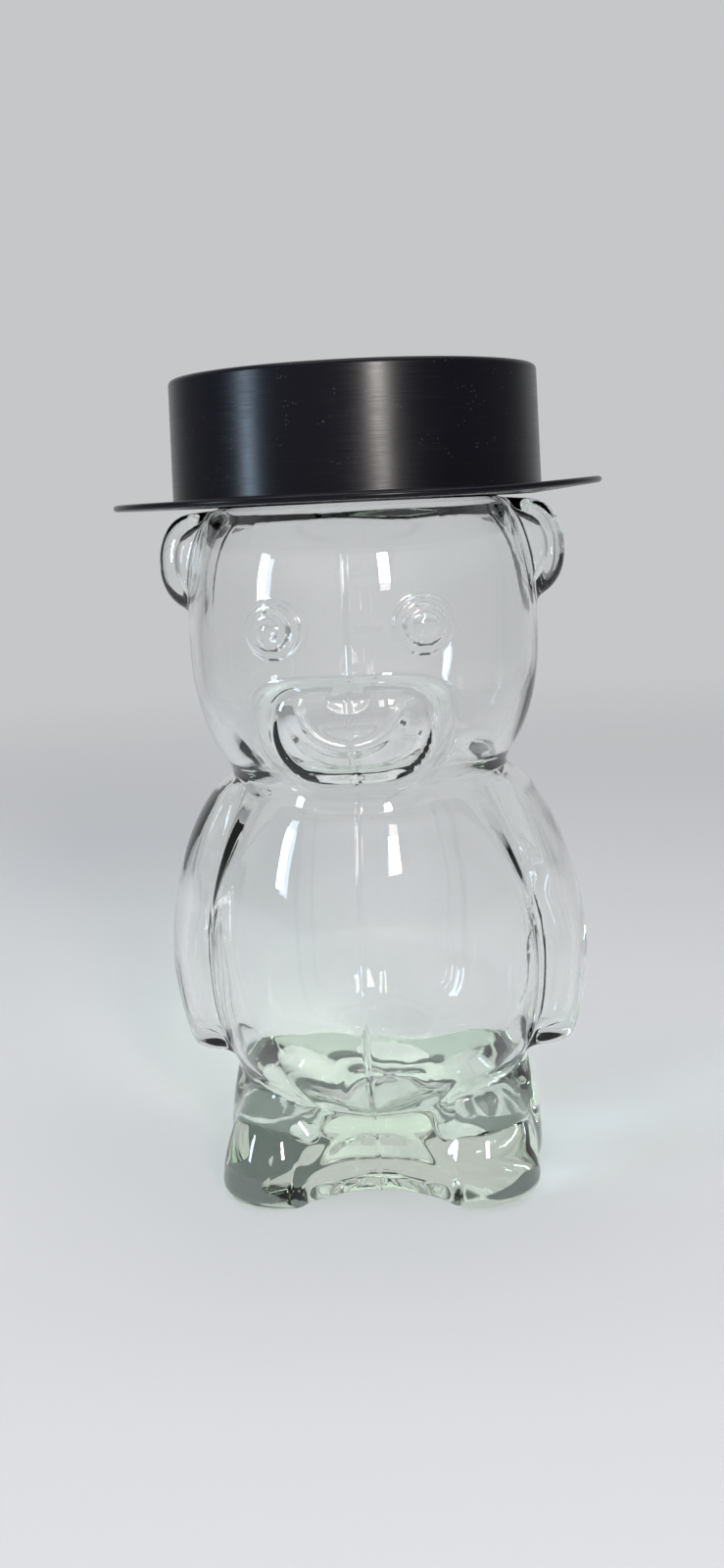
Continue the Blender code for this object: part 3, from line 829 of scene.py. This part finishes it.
def make_ripple_group() -> bpy.types.NodeTree:
    """Slow waves and fine unevenness of a moulded surface, as a height in metres."""
    bench, inlet, outlet = new_group(
        "surface_ripple", "ShaderNodeTree",
        [GroupSocket("Vector", VECTOR), GroupSocket("Wave Scale", VALUE, 60.0),
         GroupSocket("Wave Height", VALUE, 0.0001), GroupSocket("Fine Scale", VALUE, 900.0),
         GroupSocket("Fine Height", VALUE, 0.00001)],
        [GroupSocket("Height", VALUE)])
    waves = bench.noise(inlet.outputs["Vector"], inlet.outputs["Wave Scale"], 1.0)
    fine = bench.noise(inlet.outputs["Vector"], inlet.outputs["Fine Scale"], 2.0)
    high = bench.math("MULTIPLY", waves, inlet.outputs["Wave Height"])
    low = bench.math("MULTIPLY", fine, inlet.outputs["Fine Height"])
    bench.feed(outlet.inputs["Height"], bench.math("ADD", high, low))
    return bench.tree


@dataclass(frozen=True)
class DustPattern:
    """Where dust lies: patches of specks, clouds of film and the faces that it settles on."""

    patch_scale: float = 190.0
    patch_limit: float = 0.62
    cloud_scale: float = 45.0
    cloud_detail: float = 4.0
    cloud_roughness: float = 0.6
    cloud_start: float = 0.42
    cloud_end: float = 0.75
    facing_start: float = -0.2
    facing_end: float = 0.9
    least_film: float = 0.35


def make_dust_group() -> bpy.types.NodeTree:
    """Dust: small pale specks and a thin film, more of it on surfaces that face up."""
    dust = DustPattern()
    bench, inlet, outlet = new_group(
        "dust", "ShaderNodeTree",
        [GroupSocket("Vector", VECTOR), GroupSocket("Speck Scale", VALUE, 700.0),
         GroupSocket("Speck Size", VALUE, 0.16), GroupSocket("Amount", VALUE, 0.5)],
        [GroupSocket("Specks", VALUE), GroupSocket("Film", VALUE)])
    cells = bench.add("ShaderNodeTexVoronoi", Vector=inlet.outputs["Vector"],
                      Scale=inlet.outputs["Speck Scale"])
    near = bench.math("LESS_THAN", cells.outputs["Distance"], inlet.outputs["Speck Size"])
    patches = bench.noise(inlet.outputs["Vector"], dust.patch_scale, 1.0)
    chosen = bench.math("GREATER_THAN", patches, dust.patch_limit)
    specks = bench.math("MULTIPLY", near, chosen)
    clouds = bench.noise(inlet.outputs["Vector"], dust.cloud_scale, dust.cloud_detail,
                         dust.cloud_roughness)
    cloud = bench.ramp(clouds, dust.cloud_start, dust.cloud_end)
    surface = bench.add("ShaderNodeNewGeometry")
    facing = bench.add("ShaderNodeSeparateXYZ", Vector=surface.outputs["Normal"])
    upward = bench.ramp(facing.outputs["Z"], dust.facing_start, dust.facing_end, dust.least_film,
                        1.0)
    film = bench.math("MULTIPLY", cloud, upward)
    bench.feed(outlet.inputs["Specks"], bench.math("MULTIPLY", specks, inlet.outputs["Amount"]))
    bench.feed(outlet.inputs["Film"], bench.math("MULTIPLY", film, inlet.outputs["Amount"]))
    return bench.tree


@dataclass(frozen=True)
class MarkPattern:
    """How fine the rings are broken up, and how scuffs are stretched and chosen."""

    ring_detail: float = 3.0
    ring_roughness: float = 0.7
    scuff_stretch: tuple[float, float, float] = (2.0, 0.35, 1.0)
    scuff_detail: float = 4.0
    scuff_roughness: float = 0.6
    scuff_start: float = 0.58
    scuff_end: float = 0.7


def make_turning_marks_group() -> bpy.types.NodeTree:
    """Fine rings round the axis, broken up along the way, as on moulded and handled plastic."""
    mark = MarkPattern()
    bench, inlet, outlet = new_group(
        "turning_marks", "ShaderNodeTree",
        [GroupSocket("Vector", VECTOR), GroupSocket("Ring Scale", VALUE, 2600.0),
         GroupSocket("Break Scale", VALUE, 1.4)],
        [GroupSocket("Marks", VALUE), GroupSocket("Scuffs", VALUE)])
    parts = bench.add("ShaderNodeSeparateXYZ", Vector=inlet.outputs["Vector"])
    turn = bench.math("ARCTAN2", parts.outputs["X"], parts.outputs["Y"])
    along = bench.math("MULTIPLY", turn, inlet.outputs["Break Scale"])
    height = bench.math("MULTIPLY", parts.outputs["Z"], inlet.outputs["Ring Scale"])
    flat = bench.add("ShaderNodeCombineXYZ", X=along, Y=height)
    marks = bench.noise(flat.outputs[0], 1.0, mark.ring_detail, mark.ring_roughness)
    coarse = bench.add("ShaderNodeVectorMath", {"operation": "MULTIPLY"}, in0=flat.outputs[0],
                       in1=mark.scuff_stretch)
    scuffs = bench.ramp(bench.noise(coarse.outputs[0], 1.0, mark.scuff_detail,
                                    mark.scuff_roughness), mark.scuff_start, mark.scuff_end)
    bench.feed(outlet.inputs["Marks"], marks)
    bench.feed(outlet.inputs["Scuffs"], scuffs)
    return bench.tree


@dataclass
class Effects:
    """The shared effects, each built once."""

    ripple: bpy.types.NodeTree = field(default_factory=make_ripple_group)
    dust: bpy.types.NodeTree = field(default_factory=make_dust_group)
    marks: bpy.types.NodeTree = field(default_factory=make_turning_marks_group)


def new_material(name: str) -> tuple[bpy.types.Material, NodeBench, bpy.types.Node,
                                     bpy.types.Node]:
    """Start a material.

    Args:
        name: name of the material.

    Returns:
        The material, a bench on its tree, its Principled shader and its output node.
    """
    material = bpy.data.materials.new(name)
    material.use_nodes = True
    nodes = material.node_tree.nodes
    bench = NodeBench(material.node_tree)
    return material, bench, nodes["Principled BSDF"], nodes["Material Output"]


def place_group(bench: NodeBench, group: bpy.types.NodeTree, **inputs: object) -> bpy.types.Node:
    """Put a shared effect into a material."""
    node = bench.add("ShaderNodeGroup")
    node.node_tree = group
    for name, value in inputs.items():
        bench.feed(node.inputs[name.replace("_", " ")], value)
    return node


# ----- Finishes -----


@dataclass(frozen=True)
class ClearGlass:
    """Clear bottle glass, faintly green where it is thick, a little dusty."""

    name: str = "clear_glass"
    colour: Colour = (1.0, 1.0, 1.0)
    ior: float = 1.5
    roughness: float = 0.0
    film_roughness: float = 0.05
    tint: Colour = (0.68, 0.87, 0.55)
    tint_density: float = 5.5
    shadow_colour: Colour = (0.80, 0.86, 0.83)
    wave_scale: float = 38.0
    wave_height: float = 0.00003
    fine_scale: float = 420.0
    fine_height: float = 0.000004
    speck_scale: float = 520.0
    dust_amount: float = 0.5
    dust_colour: Colour = (0.8, 0.8, 0.8)

    def make(self, effects: Effects) -> bpy.types.Material:
        """Make the material.

        Args:
            effects: the shared effects.

        Returns:
            The glass.
        """
        material, bench, shader, output = new_material(self.name)
        place = bench.add("ShaderNodeTexCoord").outputs["Object"]
        dust = place_group(bench, effects.dust, Vector=place, Speck_Scale=self.speck_scale,
                           Amount=self.dust_amount)
        ripple = place_group(bench, effects.ripple, Vector=place, Wave_Scale=self.wave_scale,
                             Wave_Height=self.wave_height, Fine_Scale=self.fine_scale,
                             Fine_Height=self.fine_height)
        bump = bench.add("ShaderNodeBump", Strength=1.0, Distance=1.0,
                         Height=ripple.outputs["Height"])
        haze = bench.ramp(dust.outputs["Film"], 0.0, 1.0, self.roughness, self.film_roughness)
        colour = bench.blend(dust.outputs["Specks"], (*self.colour, 1.0),
                             (*self.dust_colour, 1.0))
        bench.feed(shader.inputs["Base Color"], colour)
        bench.feed(shader.inputs["Roughness"], haze)
        bench.feed(shader.inputs["Normal"], bump.outputs["Normal"])
        shader.inputs["Metallic"].default_value = 0.0
        shader.inputs["IOR"].default_value = self.ior
        shader.inputs["Transmission Weight"].default_value = 1.0
        clear = bench.add("ShaderNodeBsdfTransparent", Color=(*self.shadow_colour, 1.0))
        path = bench.add("ShaderNodeLightPath")
        both = bench.add("ShaderNodeMixShader", in0=path.outputs["Is Shadow Ray"],
                         in1=shader.outputs["BSDF"], in2=clear.outputs["BSDF"])
        bench.feed(output.inputs["Surface"], both.outputs[0])
        tint = bench.add("ShaderNodeVolumeAbsorption", Color=(*self.tint, 1.0),
                         Density=self.tint_density)
        bench.feed(output.inputs["Volume"], tint.outputs["Volume"])
        return material


@dataclass(frozen=True)
class BlackPlastic:
    """Black moulded plastic, satin, with fine rings, scuffs and dust."""

    name: str = "black_plastic"
    colour: Colour = (0.0022, 0.0020, 0.0046)
    scuffed_colour: Colour = (0.012, 0.012, 0.014)
    dust_colour: Colour = (0.25, 0.24, 0.23)
    roughness: float = 0.25
    roughness_swing: float = 0.03
    ring_scale: float = 2600.0
    ring_depth: float = 0.0000014
    specular: float = 0.17
    ior: float = 1.5
    wave_scale: float = 55.0
    wave_height: float = 0.0001
    fine_scale: float = 1500.0
    fine_height: float = 0.000006
    speck_scale: float = 900.0
    dust_amount: float = 0.35
    speck_share: float = 0.4
    scuff_share: float = 0.25
    film_share: float = 0.2
    mark_start: float = 0.3
    mark_end: float = 0.7

    def make(self, effects: Effects) -> bpy.types.Material:
        """Make the material.

        Args:
            effects: the shared effects.

        Returns:
            The plastic.
        """
        material, bench, shader, _ = new_material(self.name)
        place = bench.add("ShaderNodeTexCoord").outputs["Object"]
        marks = place_group(bench, effects.marks, Vector=place, Ring_Scale=self.ring_scale)
        dust = place_group(bench, effects.dust, Vector=place, Speck_Scale=self.speck_scale,
                           Amount=self.dust_amount)
        ripple = place_group(bench, effects.ripple, Vector=place, Wave_Scale=self.wave_scale,
                             Wave_Height=self.wave_height, Fine_Scale=self.fine_scale,
                             Fine_Height=self.fine_height)
        scuffs = bench.math("MULTIPLY", marks.outputs["Scuffs"], self.scuff_share)
        scuffed = bench.blend(scuffs, (*self.colour, 1.0), (*self.scuffed_colour, 1.0))
        specks = bench.math("MULTIPLY", dust.outputs["Specks"], self.speck_share)
        dusted = bench.blend(specks, scuffed, (*self.dust_colour, 1.0))
        rough = bench.ramp(marks.outputs["Marks"], self.mark_start, self.mark_end,
                           self.roughness - self.roughness_swing,
                           self.roughness + self.roughness_swing)
        film = bench.math("MULTIPLY", dust.outputs["Film"], self.film_share)
        rough = bench.math("ADD", rough, film)
        rings = bench.math("MULTIPLY", marks.outputs["Marks"], self.ring_depth)
        height = bench.math("ADD", rings, ripple.outputs["Height"])
        bump = bench.add("ShaderNodeBump", Strength=1.0, Distance=1.0, Height=height)
        bench.feed(shader.inputs["Base Color"], dusted)
        bench.feed(shader.inputs["Roughness"], rough)
        bench.feed(shader.inputs["Normal"], bump.outputs["Normal"])
        shader.inputs["Metallic"].default_value = 0.0
        shader.inputs["IOR"].default_value = self.ior
        shader.inputs["Specular IOR Level"].default_value = self.specular
        return material


# ----- Hat -----


@dataclass
class Hat:
    """The hat lid: crown, thin brim with a curl at one side, and a skirt inside."""

    box: Sequence[Sequence[float]] = field(default_factory=lambda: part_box("hat_lid"))
    wall: float = 0.0018
    brim_width: float = 0.0174
    brim_height: float = 0.203925
    curl: float = 0.0022
    curl_share: float = 0.5
    crown_round: float = 0.0015
    crown_draft: float = 0.0006
    joint_round: float = 0.0008
    skirt_inner_radius: float = 0.04135
    skirt_wall: float = 0.0016
    skirt_lead_in: float = 0.0008
    segments: int = 220
    arc_steps: int = 6
    sharp_angle: float = math.radians(40)
    merge_distance: float = 0.00001

    @property
    def brim_radius(self) -> float:
        """Radius of the brim's edge."""
        return self.box[1][0]

    @property
    def crown_radius(self) -> float:
        """Radius of the crown where it meets the brim."""
        return self.brim_radius - self.brim_width

    @property
    def top(self) -> float:
        """Height of the crown's flat top."""
        return self.box[1][2]

    def arc(self, radius: float, height: float, size: float, start: float,
            end: float) -> list[tuple[float, float]]:
        """Points of a rounded corner of the half section."""
        turns = np.linspace(start, end, self.arc_steps + 1)
        return [(radius + size * math.cos(turn), height + size * math.sin(turn)) for turn in turns]

    def half_section(self) -> list[tuple[float, float]]:
        """Half section from the middle of the top outwards, round the brim and back inside."""
        edge = self.wall / 2.0
        top_radius = self.crown_radius - self.crown_draft
        ceiling = self.top - self.wall
        inner = self.crown_radius - self.wall
        skirt = self.skirt_inner_radius + self.skirt_wall
        brim_top = self.brim_height + self.wall
        rounding = self.crown_round
        points = [(0.0, self.top)]
        points += self.arc(top_radius - rounding, self.top - rounding, rounding, QUARTER_TURN, 0.0)
        points += self.arc(self.crown_radius + self.joint_round, brim_top + self.joint_round,
                           self.joint_round, math.pi, 3.0 * QUARTER_TURN)
        points += self.arc(self.brim_radius - edge, self.brim_height + edge, edge, QUARTER_TURN,
                           -QUARTER_TURN)
        points += [(inner, self.brim_height), (inner - self.crown_draft, ceiling - self.wall),
                   (inner - self.crown_draft - self.wall, ceiling), (skirt, ceiling),
                   (skirt, self.brim_height),
                   (self.skirt_inner_radius + self.skirt_lead_in, self.brim_height),
                   (self.skirt_inner_radius, self.brim_height + self.skirt_lead_in),
                   (self.skirt_inner_radius, ceiling), (0.0, ceiling)]
        return points

    def turning_tree(self) -> bpy.types.NodeTree:
        """Geometry nodes that turn a half section round the axis and curl the brim up.

        Returns:
            The node tree, with named inputs for the sizes.
        """
        bench, inlet, outlet = new_group(
            "turned_hat", "GeometryNodeTree",
            [GroupSocket("Geometry", GEOMETRY), GroupSocket("Turning Radius", VALUE),
             GroupSocket("Segments", WHOLE), GroupSocket("Crown Radius", VALUE),
             GroupSocket("Brim Radius", VALUE), GroupSocket("Curl Start", VALUE),
             GroupSocket("Curl", VALUE), GroupSocket("Merge Distance", VALUE),
             GroupSocket("Sharp Angle", VALUE), GroupSocket("Material", MATERIAL)],
            [GroupSocket("Geometry", GEOMETRY)])
        section = bench.add("GeometryNodeMeshToCurve", in0=inlet.outputs["Geometry"])
        circle = bench.add("GeometryNodeCurvePrimitiveCircle",
                           Resolution=inlet.outputs["Segments"],
                           Radius=inlet.outputs["Turning Radius"])
        turned = bench.add("GeometryNodeCurveToMesh", Curve=circle.outputs[0],
                           Profile_Curve=section.outputs[0])
        parts = bench.add("ShaderNodeSeparateXYZ",
                          Vector=bench.add("GeometryNodeInputPosition").outputs[0])
        across = bench.math("SQRT", bench.math(
            "ADD", bench.math("POWER", parts.outputs["X"], 2.0),
            bench.math("POWER", bench.math("ABSOLUTE", parts.outputs["Y"]), 2.0)))
        on_brim = bench.math("GREATER_THAN", across, inlet.outputs["Crown Radius"])
        past = bench.math("SUBTRACT", parts.outputs["X"], inlet.outputs["Curl Start"])
        length = bench.math("SUBTRACT", inlet.outputs["Brim Radius"], inlet.outputs["Curl Start"])
        share = bench.math("MAXIMUM", bench.math("DIVIDE", past, length), 0.0)
        rise = bench.math("MULTIPLY", bench.math("POWER", share, 2.0), inlet.outputs["Curl"])
        lift = bench.add("ShaderNodeCombineXYZ", Z=bench.math("MULTIPLY", rise, on_brim))
        curled = bench.add("GeometryNodeSetPosition", Geometry=turned.outputs[0],
                           Offset=lift.outputs[0])
        closed = bench.add("GeometryNodeMergeByDistance", Geometry=curled.outputs[0],
                           Distance=inlet.outputs["Merge Distance"])
        bend = bench.add("GeometryNodeInputMeshEdgeAngle")
        smooth = bench.math("LESS_THAN", bend.outputs["Unsigned Angle"],
                            inlet.outputs["Sharp Angle"])
        shaded = bench.add("GeometryNodeSetShadeSmooth", {"domain": "EDGE"},
                           Geometry=closed.outputs[0], Shade_Smooth=smooth)
        real = bench.add("GeometryNodeRealizeInstances", Geometry=shaded.outputs[0])
        dressed = bench.add("GeometryNodeSetMaterial", Geometry=real.outputs[0],
                            Material=inlet.outputs["Material"])
        bench.feed(outlet.inputs["Geometry"], dressed.outputs[0])
        return bench.tree

    def build(self, material: bpy.types.Material) -> bpy.types.Object:
        """Turn the half section into the hat.

        Args:
            material: the plastic.

        Returns:
            The hat as a plain mesh.
        """
        radius = self.skirt_inner_radius
        points = [(r - radius, -height, 0.0) for r, height in self.half_section()]
        data = bpy.data.meshes.new("hat_section")
        data.from_pydata(points, [(i, i + 1) for i in range(len(points) - 1)], [])
        section = put_in_scene("hat_section", data)
        values = {"Turning Radius": radius, "Segments": self.segments,
                  "Crown Radius": self.crown_radius + self.joint_round + self.merge_distance,
                  "Brim Radius": self.brim_radius, "Curl": self.curl,
                  "Curl Start": self.crown_radius * self.curl_share,
                  "Merge Distance": self.merge_distance, "Sharp Angle": self.sharp_angle,
                  "Material": material}
        made = run_tree(section, self.turning_tree(), values, "black_hat")
        turn_outwards(made.data)
        return made

    def dress(self, material: bpy.types.Material) -> bpy.types.Object:
        """Build the hat, give it its plastic and set it on its body."""
        piece = self.build(material)
        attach(piece, Body.HAT.value)
        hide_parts("hat_lid")
        return piece


def run_tree(carrier: bpy.types.Object, tree: bpy.types.NodeTree, values: dict[str, object],
             name: str) -> bpy.types.Object:
    """Run a geometry node tree once and keep its result as a plain mesh.

    Args:
        carrier: object that the tree starts from; it is removed afterwards.
        tree: the node tree.
        values: a value for each of its named inputs.
        name: name of the finished object.

    Returns:
        The finished object.
    """
    modifier = carrier.modifiers.new(name, "NODES")
    modifier.node_group = tree
    for item in tree.interface.items_tree:
        if item.item_type == "SOCKET" and item.in_out == "INPUT" and item.name in values:
            modifier[item.identifier] = values[item.name]
    graph = bpy.context.evaluated_depsgraph_get()
    data = bpy.data.meshes.new_from_object(carrier.evaluated_get(graph))
    bpy.data.objects.remove(carrier, do_unlink=True)
    data.name = name
    log.info("%s: %d faces", name, len(data.polygons))
    return put_in_scene(name, data)


def turn_outwards(data: bpy.types.Mesh) -> None:
    """Turn the faces of a closed mesh outwards."""
    mesh = bmesh.new()
    mesh.from_mesh(data)
    bmesh.ops.recalc_face_normals(mesh, faces=mesh.faces[:])
    mesh.to_mesh(data)
    mesh.free()


# ----- Studio -----


@dataclass(frozen=True)
class SoftBox:
    """A rectangular lamp that looks at the object."""

    name: str
    azimuth: float
    elevation: float
    distance: float
    width: float
    height: float
    power: float
    colour: Colour

    def place(self, target: Vector) -> None:
        """Put the lamp in the scene, turned to the target."""
        lamp = bpy.data.lights.new(self.name, "AREA")
        lamp.shape = "RECTANGLE"
        lamp.size, lamp.size_y = self.width, self.height
        lamp.energy, lamp.color = self.power, self.colour
        holder = put_in_scene(self.name, lamp)
        direction = Vector((math.sin(self.azimuth) * math.cos(self.elevation),
                            -math.cos(self.azimuth) * math.cos(self.elevation),
                            math.sin(self.elevation)))
        holder.location = target + direction * self.distance
        holder.rotation_euler = direction.to_track_quat("Z", "Y").to_euler()


@dataclass(frozen=True)
class Studio:
    """Camera, lamps, world and floor."""

    focal_pixels: float = 1700.0
    image_height_pixels: float = 1600.0
    right_of_centre_pixels: float = 9.0
    azimuth: float = math.radians(5.2)
    distance: float = 0.500
    eye_height: float = 0.201
    pitch: float = math.radians(9.3)
    roll: float = math.radians(2.7)
    sensor: float = 24.0
    floor_radius: float = 1.5
    floor_solid_radius: float = 0.35
    floor_colour: Colour = (0.60, 0.60, 0.61)
    backdrop: Colour = (0.56, 0.57, 0.585)
    side_shade: float = 0.5
    side_shade_start: float = 0.55
    side_shade_end: float = 0.9
    floor_segments: int = 96
    floor_roughness: float = 0.9
    near_clip: float = 0.01
    lamps: tuple[SoftBox, ...] = (
        SoftBox("window_behind_camera", azimuth=math.radians(20), elevation=math.radians(20),
                distance=1.5, width=0.17, height=0.42, power=17.0, colour=(1.0, 0.95, 0.90)),
        SoftBox("window_left", azimuth=math.radians(-62), elevation=math.radians(14),
                distance=1.5, width=0.16, height=0.6, power=10.0, colour=(0.62, 0.80, 1.0)),
        SoftBox("overhead", azimuth=0.0, elevation=math.radians(88),
                distance=1.4, width=1.2, height=1.2, power=7.0, colour=(1.0, 1.0, 1.0)),
    )

    def place_camera(self) -> None:
        """Set the camera at the photograph's place and turn."""
        lens = bpy.data.cameras.new("camera")
        lens.sensor_fit = "VERTICAL"
        lens.sensor_height = self.sensor
        lens.lens = self.sensor * self.focal_pixels / self.image_height_pixels
        lens.clip_start = self.near_clip
        camera = put_in_scene("camera", lens)
        yaw = self.azimuth + math.atan2(self.right_of_centre_pixels, self.focal_pixels)
        place = Vector((self.distance * math.sin(self.azimuth),
                        -self.distance * math.cos(self.azimuth), self.eye_height))
        turn = (Matrix.Rotation(yaw, 4, "Z") @ Matrix.Rotation(QUARTER_TURN - self.pitch, 4, "X")
                @ Matrix.Rotation(-self.roll, 4, "Z"))
        camera.matrix_world = Matrix.Translation(place) @ turn
        bpy.context.scene.camera = camera

    def light_world(self) -> None:
        """Pale surroundings, darker at the sides, which gives the glass its edges."""
        world = bpy.data.worlds.new("studio")
        bpy.context.scene.world = world
        world.use_nodes = True
        bench = NodeBench(world.node_tree)
        background = world.node_tree.nodes["Background"]
        parts = bench.add("ShaderNodeSeparateXYZ",
                          Vector=bench.add("ShaderNodeTexCoord").outputs["Generated"])
        sideways = bench.math("ABSOLUTE", parts.outputs["X"])
        shade = bench.ramp(sideways, self.side_shade_start, self.side_shade_end, 1.0,
                           self.side_shade)
        path = bench.add("ShaderNodeLightPath")
        lit = bench.math("MAXIMUM", shade, path.outputs["Is Camera Ray"])
        bench.feed(background.inputs["Color"], (*self.backdrop, 1.0))
        bench.feed(background.inputs["Strength"], lit)

    def lay_floor(self) -> bpy.types.Object:
        """A pale floor that fades into the surroundings far from the object."""
        mesh = bmesh.new()
        bmesh.ops.create_circle(mesh, cap_ends=True, segments=self.floor_segments,
                                radius=self.floor_radius)
        data = bpy.data.meshes.new("floor")
        mesh.to_mesh(data)
        mesh.free()
        floor = put_in_scene("floor", data)
        material, bench, shader, output = new_material("pale_floor")
        shader.inputs["Base Color"].default_value = (*self.floor_colour, 1.0)
        shader.inputs["Roughness"].default_value = self.floor_roughness
        shader.inputs["Specular IOR Level"].default_value = 0.0
        place = bench.add("ShaderNodeTexCoord").outputs["Object"]
        far = bench.add("ShaderNodeVectorMath", {"operation": "LENGTH"}, in0=place)
        fade = bench.ramp(far.outputs["Value"], self.floor_solid_radius, self.floor_radius)
        clear = bench.add("ShaderNodeBsdfTransparent")
        both = bench.add("ShaderNodeMixShader", in0=fade, in1=shader.outputs["BSDF"],
                         in2=clear.outputs["BSDF"])
        bench.feed(output.inputs["Surface"], both.outputs[0])
        data.materials.append(material)
        return floor

    def build(self) -> None:
        """Set up everything round the object."""
        self.place_camera()
        self.light_world()
        self.lay_floor()
        low, high = CAD_BOUNDS
        for lamp in self.lamps:
            lamp.place((Vector(low) + Vector(high)) / 2.0)
        bpy.context.scene.view_settings.view_transform = "Standard"


def main() -> None:
    """Build the studio, the jar and the hat, in that order."""
    logging.basicConfig(level=logging.INFO)
    Studio().build()
    effects = Effects()
    jar = GlassBear().dress(ClearGlass().make(effects))
    log.info("%s is in place", jar.name)
    hat = Hat().dress(BlackPlastic().make(effects))
    log.info("%s is in place", hat.name)


if __name__ == "__main__":
    main()
